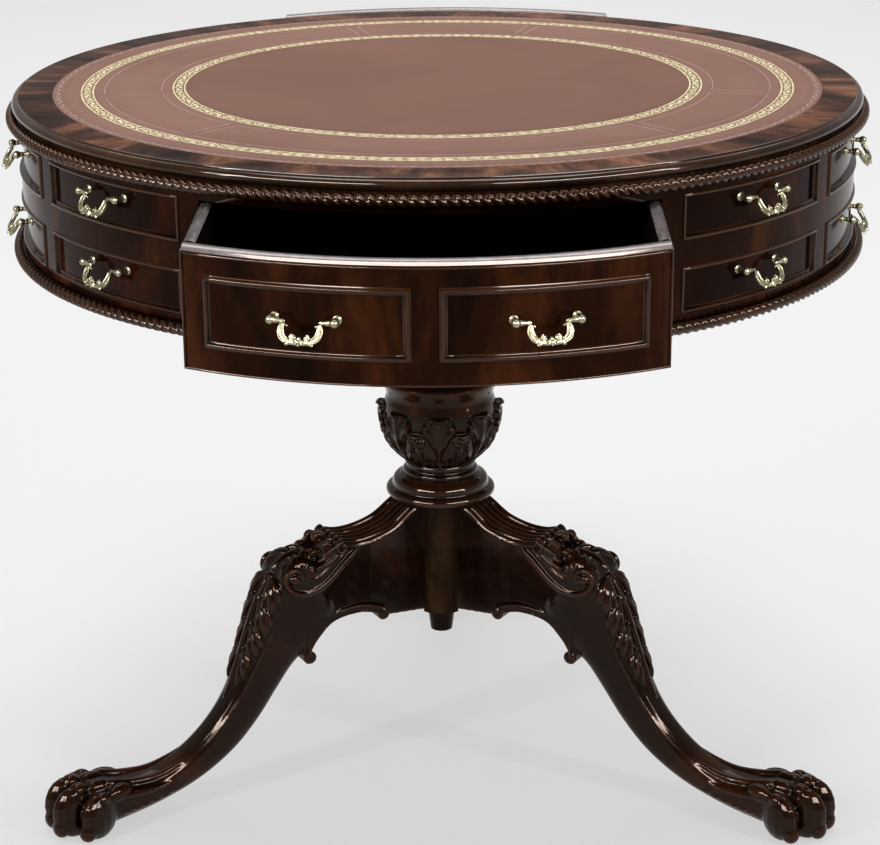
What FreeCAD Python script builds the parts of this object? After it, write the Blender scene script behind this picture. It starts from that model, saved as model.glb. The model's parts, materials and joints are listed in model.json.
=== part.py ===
"""Captain's desk: a round drum desk with a leather top on a carved tripod pedestal.

Millimetres. The origin lies on the floor under the column, +Z is up and the front drawer faces -Y.
At rest both drawers stand open, the front one less than the rear one.
"""
import FreeCAD
import Part
import Sketcher
import math
import os
import re
from FreeCAD import Placement, Rotation, Vector

SIZES = [
    # The drum, from the top down
    ("overall_height", 775, "floor to the top surface"),
    ("drum_radius", 444, "outer face of the aprons and of the closed drawer fronts"),
    ("drum_depth", 168, "top surface to the underside of the bottom board"),
    ("top_thickness", 26, "table top"),
    ("top_overhang", 6, "moulded edge of the top past the drum"),
    ("top_edge_height", 14, "moulded edge above the rope"),
    ("top_edge_round", 6, "quarter round at the top of the edge"),
    ("top_edge_cove", 3, "bevel under the edge"),
    ("leather_border", 42.5, "wooden rim round the leather"),
    ("leather_thickness", 1.6, "writing leather, flush with the wood"),
    ("rope_height", 12, "rope mouldings round the top and the bottom of the drum"),
    ("rope_reach", 13, "how far the ropes stand out from the drum"),
    ("bottom_thickness", 14, "bottom board"),
    ("apron_thickness", 20, "curved sides of the drum"),
    ("seat_gap", 0.2, "glue line between round faces"),
    ("cut_overrun", 5, "how far a cutting shape runs past the face that it cuts"),
    # The panels on the curved sides
    ("panel_angle", 26.5, "degrees that one side panel takes up"),
    ("side_panel_height", 45, "one of the two panels above each other"),
    ("side_panel_rail", 26, "rail between the upper and lower panels"),
    ("panel_recess", 3.5, "depth of the panel fields"),
    ("side_bead_width", 5, "bead round a side panel"),
    ("side_bead_proud", 2, "bead in front of the drum's face"),
    # The drawers and what carries them
    ("drawer_width", 424, "over the sides"),
    ("drawer_depth", 380, "front face to back"),
    ("drawer_front_thickness", 24, "bowed front"),
    ("drawer_side_thickness", 11, "sides"),
    ("drawer_back_thickness", 10, "back"),
    ("drawer_bottom_thickness", 6, "bottom panel"),
    ("drawer_bottom_lift", 8, "bottom panel above the lower edge of the sides"),
    ("drawer_groove_depth", 5, "groove in the sides that holds the bottom panel"),
    ("drawer_rim_drop", 1.5, "sides and back below the top of the front"),
    ("drawer_side_clearance", 1.5, "between a drawer and its guides"),
    ("drawer_face_clearance", 1, "between a drawer front and the rails"),
    ("rail_height", 8, "rails above and below the drawer fronts, and the runners"),
    ("runner_width", 18, "strips that the drawers slide on"),
    ("guide_thickness", 12, "boards beside the drawers"),
    ("divider_thickness", 14, "board between the two drawers"),
    ("front_drawer_open", 159, "front drawer pulled out at rest"),
    ("rear_drawer_open", 250, "rear drawer pulled out at rest"),
    ("front_panel_width", 180, "moulded panel on a drawer front"),
    ("front_panel_height", 66, "moulded panel on a drawer front"),
    ("front_panel_gap", 24, "between the two panels of a drawer front"),
    ("front_bead_width", 7, "bead round a drawer panel"),
    ("front_bead_proud", 4, "bead in front of the drawer face"),
    # The pulls
    ("pull_span", 57, "between the two ball heads"),
    ("pull_standoff", 11, "ball centre in front of the panel field"),
    ("ball_radius", 4.75, "ball head"),
    ("post_base_radius", 6, "flange of a post"),
    ("post_base_thickness", 1.6, "flange of a post"),
    ("post_neck_radius", 2.6, "neck of a post"),
    ("bail_pin_radius", 1.5, "pivot pins of a bail"),
    ("bail_pin_clearance", 0.05, "pivot pin in its ball head"),
    ("bail_pin_depth", 3, "pivot pin past the centre of its ball head"),
    ("bail_shoulder_gap", 0.6, "between a ball head and the shoulder of the bail"),
    ("bail_shoulder_radius", 3.2, "tapered collar beside a ball head"),
    ("bail_wire_radius", 2.7, "cast bail"),
    ("bail_drop", 22, "hinge axis to the middle of the grip"),
    ("bail_rest_angle", 32, "degrees that a bail stands out from the panel on its stop"),
    ("side_pull_lift", 8, "side pulls above the middle of their panels"),
    ("front_pull_lift", 3, "drawer pulls above the middle of the front"),
    # The pedestal, from the top down
    ("block_radius", 120, "mounting block under the drum"),
    ("block_thickness", 24, "mounting block under the drum"),
    ("screw_circle_radius", 95, "screws through the mounting block"),
    ("screw_radius", 2.5, "screw shank"),
    ("screw_head_radius", 5, "countersunk screw head"),
    ("screw_bite", 9, "screw in the bottom board"),
    ("urn_radius", 66, "carved bulb"),
    ("urn_height", 253, "turned column above the collar"),
    ("collar_radius", 61.6, "turned collar on the legs"),
    ("collar_height", 24, "turned collar on the legs"),
    ("post_radius", 28, "post that the legs are housed in"),
    ("post_height", 141, "post that the legs are housed in"),
    ("foot_block_height", 28, "tapered block under the post"),
    ("foot_block_top_radius", 16, "tapered block under the post"),
    ("foot_block_low_radius", 12.5, "tapered block under the post"),
    ("rod_radius", 5, "threaded rod through the column"),
    ("rod_clearance", 0.3, "rod in its bores"),
    ("nut_radius", 8.5, "nut over its corners"),
    ("nut_height", 6, "nut"),
    ("nut_pocket_radius", 10, "counterbore in the tapered block"),
    # The legs
    ("leg_reach", 487, "column axis to the toes"),
    ("leg_web", 44, "thickness of the bracket between the post and the knee"),
    ("leg_depth", 92, "knee, across the curve of the leg"),
    ("leg_width", 68, "knee, from side to side"),
    ("cap_thickness", 10, "fluted top of a leg"),
    ("cap_width", 60, "fluted top of a leg"),
    ("flute_depth", 3, "flutes in the top of a leg"),
    ("cap_roll_radius", 8, "roll at the end of the flutes"),
    ("knee_scroll_radius", 20, "scroll on each side of the knee"),
    ("arch_band_thickness", 9, "raised band along the arch"),
    ("arch_band_width", 50, "raised band along the arch"),
    ("arch_volute_radius", 9, "scrolls at the ends of the arch"),
    ("toe_width", 26, "one toe of the paw"),
    ("toe_length", 50, "one toe of the paw"),
    ("toe_height", 63, "one toe of the paw"),
    ("dovetail_depth", 11, "tongue of a leg in the post"),
    ("dovetail_width", 20, "widest part of the tongue"),
    ("dovetail_neck", 14, "tongue where it leaves the post"),
    ("dovetail_clearance", 0.1, "tongue in its housing"),
]

SECTIONS = 12                       # equal sections round the drum; each drawer takes two
SIDE_PANELS = 4                     # panels in a row on each side
LEG_AZIMUTHS = {"leg_left": 210, "leg_right": 330, "leg_rear": 90}
SCREWS = 4
ROPE_ANGLES = (-90, -45, 0, 45, 90)  # corners of a rope's half round, in degrees
FLUTES = 6                          # on the top of each leg
PULL_SIDES = 8                      # sides of the posts and bails, which repeat many times
LIMB_SIDES = 16                     # sides of the cabriole limb and of a leg's rolls
LIMB_STEPS = 22                     # cross-sections along the limb
CURVE_STEPS = 8                     # cross-sections along the other curves of a leg

# Heights that follow from the sizes
BOTTOM_LOW = "(overall_height - drum_depth)"
APRON_LOW = f"({BOTTOM_LOW} + bottom_thickness)"
APRON_HIGH = "(overall_height - top_thickness)"
OPENING_LOW = f"({APRON_LOW} + rail_height)"
OPENING_HIGH = f"({APRON_HIGH} - rail_height)"
FRONT_LOW = f"({OPENING_LOW} + drawer_face_clearance)"
FRONT_HIGH = f"({OPENING_HIGH} - drawer_face_clearance)"
RIM_HIGH = f"({FRONT_HIGH} - drawer_rim_drop)"
PANEL_LOW = f"({OPENING_LOW} + drawer_bottom_lift)"
PANEL_HIGH = f"({PANEL_LOW} + drawer_bottom_thickness)"
BLOCK_LOW = f"({BOTTOM_LOW} - block_thickness)"
COLLAR_HIGH = f"({BLOCK_LOW} - urn_height)"
COLLAR_LOW = f"({COLLAR_HIGH} - collar_height)"
POST_LOW = f"({COLLAR_LOW} - post_height)"
FOOT_LOW = f"({POST_LOW} - foot_block_height)"
LEG_RISE = COLLAR_LOW

# Widths and radii that follow from the sizes
TOP_RADIUS = "(drum_radius + top_overhang)"
LEATHER_RADIUS = f"({TOP_RADIUS} - leather_border)"
APRON_INSIDE = "(drum_radius - apron_thickness)"
OPENING_HALF = "(drawer_width / 2 + drawer_side_clearance)"
DRAWER_HALF = "(drawer_width / 2)"
SIDE_INSIDE = f"({DRAWER_HALF} - drawer_side_thickness)"
FRONT_INSIDE = "(drum_radius - drawer_front_thickness)"
FIELD_RADIUS = "(drum_radius - panel_recess)"
DRAWER_LENGTH = ("-drum_radius", "-drum_radius + drawer_depth")
ROD_BORE = "(rod_radius + rod_clearance)"
FRONT_PANEL_MIDDLE = "(front_panel_gap / 2 + front_panel_width / 2)"

# Turned outlines, bottom to top: radius as a share of the widest, height as a share of the piece, and the
# bulge of the edge to the next point as a share of half its length
QUARTER_BULGE_SHARE = math.tan(math.pi / 8)
URN_SHARES = [
    (0.60, 0.000, 0), (0.64, 0.008, 0), (0.64, 0.024, 0), (0.57, 0.034, 0), (0.61, 0.044, 0),
    (0.61, 0.066, 0), (0.55, 0.080, 0.26), (1.00, 0.273, 0.22), (0.91, 0.372, 0), (0.92, 0.391, 0),
    (0.99, 0.433, 0), (0.99, 0.451, 0), (0.86, 0.456, 0), (0.80, 0.466, -0.30), (0.68, 0.506, 0),
    (0.66, 0.760, 0), (0.73, 0.771, 0), (0.73, 0.814, 0), (0.67, 0.822, -0.30), (1.05, 0.965, 0),
    (1.05, 1.000, 0),
]
COLLAR_SHARES = [
    (0.90, 0.00, 0), (1.00, 0.12, 0), (1.00, 0.38, 0), (0.93, 0.50, 0), (0.88, 0.56, 0), (0.87, 0.86, 0),
    (0.79, 0.94, 0), (0.78, 1.00, 0),
]

# Half of a bail from the shoulder beside its ball head to the middle of the grip: place along the hinge as a
# share of the half span, drop as a share of the drop, thickness as a share of the wire
BAIL_SHARES = [
    (0.667, 0.00, 0.55), (0.590, 0.13, 0.75), (0.600, 0.46, 0.90), (0.525, 0.74, 1.00), (0.330, 0.92, 1.05),
]
BAIL_KNOP_SHARE = 1.5                # swelling in the middle of the grip
SHOULDER_SLOPE_SHARE = 0.3           # slope of the shoulder as a share of its radius
# Outline of a ball head from its neck to its tip, as shares of its radius
BALL_SHARES = [(-0.85, 0.53), (-0.45, 0.90), (0.00, 1.00), (0.45, 0.90), (0.90, 0.43)]
BLOCK_CHAMFER_SHARE = 1 / 3          # of the mounting block's thickness

# Cabriole leg from knee to toes: place as shares of reach and rise, slope in degrees, then half the depth
# and half the width as shares of the knee's depth and width
LEG_STATION_SHARES = [
    (0.339, 0.742, -33, 0.480, 0.47), (0.382, 0.706, -36, 0.478, 0.49), (0.422, 0.619, -38, 0.470, 0.46),
    (0.452, 0.542, -45, 0.370, 0.40), (0.486, 0.438, -49, 0.297, 0.34), (0.530, 0.322, -51, 0.250, 0.31),
    (0.583, 0.222, -47, 0.239, 0.29), (0.657, 0.147, -32, 0.207, 0.29), (0.741, 0.097, -14, 0.185, 0.31),
    (0.821, 0.085, 0, 0.234, 0.38), (0.887, 0.092, 0, 0.293, 0.46), (0.934, 0.082, 0, 0.261, 0.41),
]
LIMB_SQUARE_SHARE = 0.67             # 1 makes the section an ellipse, less makes it squarer
# Bracket between the post and the knee, going round from the top of the root: reach and rise shares
CAP_SHARES = [(0.092, 1.000), (0.160, 0.928), (0.278, 0.905)]
BRACKET_KNEE_SHARES = [(0.360, 0.830), (0.420, 0.660), (0.392, 0.520)]
ARCH_SHARES = [(0.372, 0.500), (0.300, 0.618), (0.184, 0.596)]
BRACKET_ROOT_SHARES = [(0.160, 0.560), (0.040, 0.552), (0.040, 1.000)]
KNEE_SCROLL_SHARES = (0.400, 0.800)
ARCH_VOLUTE_SHARES = [(0.370, 0.487), (0.180, 0.594)]
# One flute across its width: place as a share of the width, depth as a share of the flute's depth
FLUTE_SHARES = [(0.06, 0.0), (0.30, 0.8), (0.50, 1.0), (0.70, 0.8), (0.94, 0.0)]
# Toes and knuckles of one half of a paw: reach, distance from the middle as a share of a toe's width, rise,
# turn in degrees, then length, width and height as shares of a toe's
TOE_SHARES = [
    (0.950, 0.45, 0.088, 0, 1.00, 1.00, 1.00), (0.906, 1.10, 0.080, 26, 0.96, 0.94, 0.90),
    (0.891, 0.37, 0.150, 0, 0.70, 0.80, 0.36), (0.852, 0.86, 0.134, 16, 0.70, 0.76, 0.34),
]
TOE_RING_ANGLES = (24, 56, 90, 124, 156)  # degrees from the top of a toe

doc = FreeCAD.newDocument("captains_desk")
sheet = doc.addObject("Spreadsheet::Sheet", "Sizes")
parts = []                           # the objects that are written out


def fill_sheet():
    for row, (alias, number, meaning) in enumerate(SIZES, start=1):
        sheet.set(f"A{row}", meaning)
        sheet.set(f"B{row}", str(number))
        sheet.setAlias(f"B{row}", alias)
    doc.recompute()


def in_sheet(expression):
    """Write the expression with its size names pointing into the sheet."""
    return re.sub(r"[a-z]+(_[a-z]+)+", r"Sizes.\g<0>", expression)


def value(expression):
    return float(sheet.evalExpression(expression))


def bind(item, **expressions):
    for name, expression in expressions.items():
        item.setExpression(name.replace("__", "."), in_sheet(expression))


def keep(item, label):
    """Mark the object as a sub-part of the desk."""
    item.Label = label
    parts.append(item)
    return item


def turned_about_z(degrees):
    return Placement(Vector(), Rotation(Vector(0, 0, 1), degrees))


# Plain solids and booleans

def box(name, x, y, z):
    """A block between pairs of low and high expressions."""
    item = doc.addObject("Part::Box", name)
    for size, axis, (low, high) in (("Length", "x", x), ("Width", "y", y), ("Height", "z", z)):
        bind(item, **{size: f"({high}) - ({low})", f"Placement__Base__{axis}": low})
    return item


def cylinder(name, radius, low, high):
    item = doc.addObject("Part::Cylinder", name)
    bind(item, Radius=radius, Height=f"({high}) - ({low})", Placement__Base__z=low)
    return item


def cut(name, base, tool):
    item = doc.addObject("Part::Cut", name)
    item.Base = base
    item.Tool = tool
    return item


def common(name, base, tool):
    item = doc.addObject("Part::Common", name)
    item.Base = base
    item.Tool = tool
    return item


def group(name, items):
    item = doc.addObject("Part::Compound", name)
    item.Links = items
    return item


def ring(name, inner, outer, low, high):
    return cut(name, cylinder(f"{name}_outside", outer, low, high),
               cylinder(f"{name}_inside", inner, f"{low} - cut_overrun", f"{high} + cut_overrun"))


def feature(name, shape):
    """A solid or a group of solids set from the sheet's values."""
    item = doc.addObject("Part::Feature", name)
    item.Shape = shape
    return item


# Turned pieces

def arc_through(start, end, bulge):
    """An arc that bulges to the right of the way along by a share of half its chord."""
    chord = end - start
    side = Vector(chord.y, -chord.x, 0)
    return Part.Arc(start, (start + end) / 2 + side * (bulge / 2), end)


def arc_radius(start, end, bulge):
    """Expression for the radius of such an arc between two (x, z) pairs of expressions."""
    chord = f"hypot(({end[0]}) - ({start[0]}); ({end[1]}) - ({start[1]}))"
    return f"{chord} * {(1 + bulge ** 2) / (4 * abs(bulge))}"


def turned_piece(label, outline):
    """Revolve a closed outline, which goes up its outside; each point is (radius, height, bulge).

    The bulge belongs to the edge that leaves the point: 0 is straight, above 0 swells, below 0 is hollow.
    """
    body = doc.addObject("PartDesign::Body", label)
    sketch = body.newObject("Sketcher::SketchObject", f"{label}_outline")
    sketch.AttachmentSupport = [(origin_plane(body, "XZ_Plane"), "")]
    sketch.MapMode = "FlatFace"
    places = [Vector(value(x), value(z), 0) for x, z, _ in outline]
    followers = list(range(1, len(outline))) + [0]
    ends = []
    for index, (_, _, bulge) in enumerate(outline):
        start, end = places[index], places[followers[index]]
        edge = arc_through(start, end, bulge) if bulge else Part.LineSegment(start, end)
        sketch.addGeometry(edge)
        ends.append((2, 1) if bulge < 0 else (1, 2))
    for index, (x, z, bulge) in enumerate(outline):
        following = followers[index]
        first, last = ends[index]
        sketch.addConstraint(Sketcher.Constraint("Coincident", index, last, following, ends[following][0]))
        rules = [("DistanceX", (-1, 1, index, first), x), ("DistanceY", (-1, 1, index, first), z)]
        if bulge:
            rules.append(("Radius", (index,), arc_radius((x, z), outline[following][:2], bulge)))
        for kind, target, expression in rules:
            number = sketch.addConstraint(Sketcher.Constraint(kind, *target, value(expression)))
            sketch.setExpression(f"Constraints[{number}]", in_sheet(expression))
    revolution = body.newObject("PartDesign::Revolution", f"{label}_turning")
    revolution.Profile = sketch
    revolution.ReferenceAxis = (sketch, ["V_Axis"])
    body.Tip = revolution
    return keep(body, label)


def origin_plane(body, role):
    return next(plane for plane in body.Origin.OriginFeatures if plane.Role == role)


def bored_outline(shares, radius, low, height):
    """A turned outline from its shares, closed along the bore for the rod."""
    outline = [(f"{radius} * {radius_share}", f"{low} + {height} * {height_share}", bulge)
               for radius_share, height_share, bulge in shares]
    return outline + [(ROD_BORE, f"{low} + {height}", 0), (ROD_BORE, low, 0)]


# The drum

def make_top():
    recess = "(overall_height - leather_thickness)"
    edge_low = "(overall_height - top_edge_height)"
    turned_piece("table_top", [
        ("0", APRON_HIGH, 0),
        ("drum_radius", APRON_HIGH, 0),
        ("drum_radius", edge_low, 0),
        (f"{TOP_RADIUS} - top_edge_cove", edge_low, 0),
        (TOP_RADIUS, f"{edge_low} + top_edge_cove", 0),
        (TOP_RADIUS, "overall_height - top_edge_round", QUARTER_BULGE_SHARE),
        (f"{TOP_RADIUS} - top_edge_round", "overall_height", 0),
        (LEATHER_RADIUS, "overall_height", 0),
        (LEATHER_RADIUS, recess, 0),
        ("0", recess, 0),
    ])
    keep(cylinder("leather", f"{LEATHER_RADIUS} - seat_gap", recess, "overall_height"), "leather_inlay")


def make_rope(label, high):
    """A half-round ring that the twist of the rope is carved on."""
    seat = "(drum_radius + seat_gap)"
    round_middle = "(drum_radius + rope_reach - rope_height / 2)"
    middle = f"({high} - rope_height / 2)"
    outline = [(seat, f"{high} - rope_height", 0)]
    for angle in ROPE_ANGLES:
        outline.append((f"{round_middle} + rope_height / 2 * cos({angle} deg)",
                        f"{middle} + rope_height / 2 * sin({angle} deg)", 0))
    turned_piece(label, outline + [(seat, high, 0)])


def panel_block(name, inner, outer, low, high, span):
    """A curved block as wide as one side panel, with its middle on +X."""
    sector = cylinder(f"{name}_sector", outer, low, high)
    bind(sector, Angle=span)
    sector.Placement.Rotation = Rotation(Vector(0, 0, 1), -value(span) / 2)
    return cut(name, sector, cylinder(f"{name}_core", inner, f"{low} - cut_overrun", f"{high} + cut_overrun"))


def panel_rows():
    """Low and high of the lower and the upper row of side panels."""
    middle = f"(({APRON_LOW} + {APRON_HIGH}) / 2)"
    near = "side_panel_rail / 2"
    far = "(side_panel_rail / 2 + side_panel_height)"
    return {"lower": (f"({middle} - {far})", f"({middle} - {near})"),
            "upper": (f"({middle} + {near})", f"({middle} + {far})")}


def side_angles():
    """Middle of each side panel, from the front to the rear, counted from +X."""
    step = 360 / SECTIONS
    first = -step * (SIDE_PANELS - 1) / 2
    right = [first + step * index for index in range(SIDE_PANELS)]
    return {"left": [180 - angle for angle in right], "right": right}


def spread(shape, angles):
    """Copies of a shape turned about the column."""
    copies = []
    for angle in angles:
        turned = shape.copy()
        turned.rotate(Vector(), Vector(0, 0, 1), angle)
        copies.append(turned)
    return copies


def make_aprons():
    """Curved sides with sunk panels, and the beads that line the panels."""
    bead_turn = "side_bead_width / drum_radius * 180 / pi"
    recesses, beads = [], []
    for row, (low, high) in panel_rows().items():
        recesses.append(panel_block(f"{row}_recess", FIELD_RADIUS, "drum_radius + cut_overrun", low, high,
                                    "panel_angle"))
        outside = panel_block(f"{row}_bead_blank", FIELD_RADIUS, "drum_radius + side_bead_proud", low, high,
                              "panel_angle")
        inside = panel_block(f"{row}_bead_window", f"{FIELD_RADIUS} - cut_overrun",
                             "drum_radius + cut_overrun", f"({low} + side_bead_width)",
                             f"({high} - side_bead_width)", f"panel_angle - 2 * {bead_turn}")
        beads.append(cut(f"{row}_bead", outside, inside))
    doc.recompute()
    frames = []
    for side, angles in side_angles().items():
        limit = ("-drum_radius", f"-{OPENING_HALF}") if side == "left" else (OPENING_HALF, "drum_radius")
        drum = ring(f"{side}_ring", APRON_INSIDE, "drum_radius", APRON_LOW, APRON_HIGH)
        half_drum = box(f"{side}_limit", limit, ("-drum_radius", "drum_radius"), (APRON_LOW, APRON_HIGH))
        tools = [copy for recess in recesses for copy in spread(recess.Shape, angles)]
        sunk = feature(f"{side}_recesses", Part.makeCompound(tools))
        keep(cut(f"{side}_apron", common(f"{side}_blank", drum, half_drum), sunk), f"apron_{side}")
        frames += [copy for bead in beads for copy in spread(bead.Shape, angles)]
    keep(feature("beads", Part.makeCompound(frames)), "side_panel_mouldings")


def make_rails():
    """Curved strips above and below both drawer fronts."""
    strips = []
    width = (f"-{OPENING_HALF}", OPENING_HALF)
    for end, y in (("front", ("-drum_radius", "0")), ("rear", ("0", "drum_radius"))):
        for level, z in (("low", (APRON_LOW, OPENING_LOW)), ("high", (OPENING_HIGH, APRON_HIGH))):
            name = f"{end}_{level}_rail"
            strips.append(common(name, ring(f"{name}_ring", APRON_INSIDE, "drum_radius", *z),
                                 box(f"{name}_limit", width, y, z)))
    keep(group("rails", strips), "drawer_rails")


def make_bottom_board():
    board = cylinder("board_blank", "drum_radius", BOTTOM_LOW, APRON_LOW)
    start = f"{BOTTOM_LOW} - cut_overrun"
    rod_hole = cylinder("board_rod_hole", ROD_BORE, start, f"{APRON_LOW} + cut_overrun")
    pilot = cylinder("board_pilot", "screw_radius", start, f"{BOTTOM_LOW} + screw_bite")
    bind(pilot, Placement__Base__x="screw_circle_radius")
    doc.recompute()
    holes = spread(pilot.Shape, screw_angles()) + [rod_hole.Shape]
    keep(cut("board", board, feature("board_holes", Part.makeCompound(holes))), "bottom_board")


def screw_angles():
    return [360 * index / SCREWS for index in range(SCREWS)]


def make_inner_boards():
    """Guides beside the drawers, the divider between them and the runners under them."""
    reach = cylinder("guide_reach", f"{APRON_INSIDE} - seat_gap", APRON_LOW, APRON_HIGH)
    length = (f"-{APRON_INSIDE}", APRON_INSIDE)
    height = (APRON_LOW, APRON_HIGH)
    outside = f"({OPENING_HALF} + guide_thickness)"
    for side, x in (("left", (f"-{outside}", f"-{OPENING_HALF}")), ("right", (OPENING_HALF, outside))):
        board = box(f"{side}_guide_blank", x, length, height)
        keep(common(f"{side}_guide", board, reach), f"drawer_guide_{side}")
    half = "(divider_thickness / 2)"
    divider = box("divider_blank", (f"-{OPENING_HALF}", OPENING_HALF), (f"-{half}", half), height)
    nut_room = cylinder("divider_notch", "nut_pocket_radius", f"{APRON_LOW} - cut_overrun",
                        f"{APRON_LOW} + 2 * nut_height")
    keep(cut("divider", divider, nut_room), "drawer_divider")
    strips = []
    inside = f"({OPENING_HALF} - runner_width)"
    for side, x in (("left", (f"-{OPENING_HALF}", f"-{inside}")), ("right", (inside, OPENING_HALF))):
        for end, y in (("front", (f"-{APRON_INSIDE}", f"-{half}")), ("rear", (half, APRON_INSIDE))):
            name = f"{side}_{end}_runner"
            blank = box(f"{name}_blank", x, y, (APRON_LOW, OPENING_LOW))
            strips.append(common(name, blank, reach))
    keep(group("runners", strips), "drawer_runners")


# The drawers

def drawer_place(prefix):
    """A drawer is made closed at the front, then turned to its end and pulled out."""
    if prefix == "front":
        return Placement(Vector(0, -value("front_drawer_open"), 0), Rotation())
    return Placement(Vector(0, value("rear_drawer_open"), 0), Rotation(Vector(0, 0, 1), 180))


def make_drawer(prefix):
    place = drawer_place(prefix)
    pieces = {"front": drawer_front(prefix), "mouldings": drawer_mouldings(prefix),
              "bottom": drawer_bottom_blank(f"{prefix}_bottom_panel"), "back": drawer_back(prefix)}
    for side, x in (("left", (f"-{DRAWER_HALF}", f"-{SIDE_INSIDE}")), ("right", (SIDE_INSIDE, DRAWER_HALF))):
        pieces[f"{side}_side"] = drawer_side(f"{prefix}_{side}", x)
    for name, item in pieces.items():
        item.Placement = place
        keep(item, f"{prefix}_drawer_{name}")


def drawer_front(prefix):
    """Bowed front with a groove for the bottom panel."""
    blank = common(f"{prefix}_front_blank",
                   ring(f"{prefix}_front_ring", FRONT_INSIDE, "drum_radius", FRONT_LOW, FRONT_HIGH),
                   box(f"{prefix}_front_limit", (f"-{DRAWER_HALF}", DRAWER_HALF), ("-drum_radius", "0"),
                       (FRONT_LOW, FRONT_HIGH)))
    return cut(f"{prefix}_front_piece", blank, drawer_bottom_blank(f"{prefix}_front_groove"))


def drawer_bottom_blank(name):
    """The bottom panel: straight sides in the grooves and a bowed front edge."""
    half = f"({SIDE_INSIDE} + drawer_groove_depth)"
    board = box(f"{name}_board", (f"-{half}", half), DRAWER_LENGTH, (PANEL_LOW, PANEL_HIGH))
    bow = cylinder(f"{name}_bow", f"{FRONT_INSIDE} + drawer_groove_depth", PANEL_LOW, PANEL_HIGH)
    return common(name, board, bow)


def drawer_back(prefix):
    """The back stands on the bottom panel between the sides."""
    end = DRAWER_LENGTH[1]
    board = box(f"{prefix}_back_blank", (f"-{SIDE_INSIDE}", SIDE_INSIDE),
                (f"{end} - drawer_back_thickness", end), (PANEL_HIGH, RIM_HIGH))
    return group(f"{prefix}_back_board", [board])


def drawer_side(prefix, x):
    """A side runs from the bowed front to the back and is grooved for the bottom panel."""
    board = box(f"{prefix}_side_board", x, DRAWER_LENGTH, (OPENING_LOW, RIM_HIGH))
    bow = cylinder(f"{prefix}_side_reach", f"{FRONT_INSIDE} - seat_gap", OPENING_LOW, RIM_HIGH)
    return cut(f"{prefix}_side_piece", common(f"{prefix}_side_blank", board, bow),
               drawer_bottom_blank(f"{prefix}_side_groove"))


def drawer_mouldings(prefix):
    """Two bead frames side by side on the bowed face."""
    frames = []
    middle = f"(({FRONT_LOW} + {FRONT_HIGH}) / 2)"
    depth = ("-drum_radius - cut_overrun", "0")
    for side, sign in (("left", "-1"), ("right", "1")):
        name = f"{prefix}_{side}_frame"
        windows = []
        for part, inset in (("outer", "0"), ("inner", "front_bead_width")):
            half_width = f"(front_panel_width / 2 - {inset})"
            half_height = f"(front_panel_height / 2 - {inset})"
            centre = f"({sign} * {FRONT_PANEL_MIDDLE})"
            width = (f"{centre} - {half_width}", f"{centre} + {half_width}")
            height = (f"{middle} - {half_height}", f"{middle} + {half_height}")
            windows.append(box(f"{name}_{part}", width, depth, height))
        skin = ring(f"{name}_skin", "drum_radius + seat_gap", "drum_radius + front_bead_proud",
                    FRONT_LOW, FRONT_HIGH)
        frames.append(common(f"{name}_bead", skin, cut(f"{name}_window", *windows)))
    return group(f"{prefix}_frames", frames)


# The pulls

def pull_places():
    """Name, owner, field radius, height and angle from +X of every pull."""
    places = []
    front_turn = math.degrees(math.asin(value(FRONT_PANEL_MIDDLE) / value("drum_radius")))
    front_height = value(f"({FRONT_LOW} + {FRONT_HIGH}) / 2 + front_pull_lift")
    for prefix, facing in (("front", 270), ("rear", 90)):
        for side, turn in (("left", -front_turn), ("right", front_turn)):
            name = f"{prefix}_drawer_{side}"
            places.append((name, prefix, value("drum_radius"), front_height, facing + turn))
    for side, angles in side_angles().items():
        for row, (low, high) in panel_rows().items():
            height = value(f"({low} + {high}) / 2 + side_pull_lift")
            for number, angle in enumerate(angles, start=1):
                places.append((f"{side}_{row}_{number}", "side", value(FIELD_RADIUS), height, angle))
    return places


def pull_frame(owner, field, height, angle):
    """Placement of a pull: X along its hinge, Y out of the panel, at the middle of the hinge axis."""
    half = value("pull_span") / 2
    distance = math.sqrt((field + value("pull_standoff")) ** 2 - half ** 2)
    frame = Placement(Vector(0, distance, height), Rotation())
    frame = turned_about_z(angle - 90).multiply(frame)
    if owner == "side":
        return frame
    return Placement(drawer_place(owner).Base, Rotation()).multiply(frame)


def flat_face(corners):
    return Part.Face(Part.makePolygon(corners + corners[:1]))


def skinned(rings):
    """A solid with flat facets between rings that have the same number of corners."""
    faces = [flat_face(rings[0]), flat_face(rings[-1])]
    for low, high in zip(rings, rings[1:]):
        for index in range(len(low)):
            following = (index + 1) % len(low)
            faces.append(flat_face([low[index], low[following], high[following]]))
            faces.append(flat_face([low[index], high[following], high[index]]))
    solid = Part.Solid(Part.Shell(faces))
    if solid.Volume < 0:
        solid.reverse()
    return solid


def corner_angles(sides):
    """Angles of a polygon's corners, with a flat side below."""
    return [2 * math.pi * (index + 0.5) / sides for index in range(sides)]


def round_ring(centre, radius, across, up, sides):
    """Corners of a regular ring about a centre."""
    return [centre + across * (radius * math.cos(angle)) + up * (radius * math.sin(angle))
            for angle in corner_angles(sides)]


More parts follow.
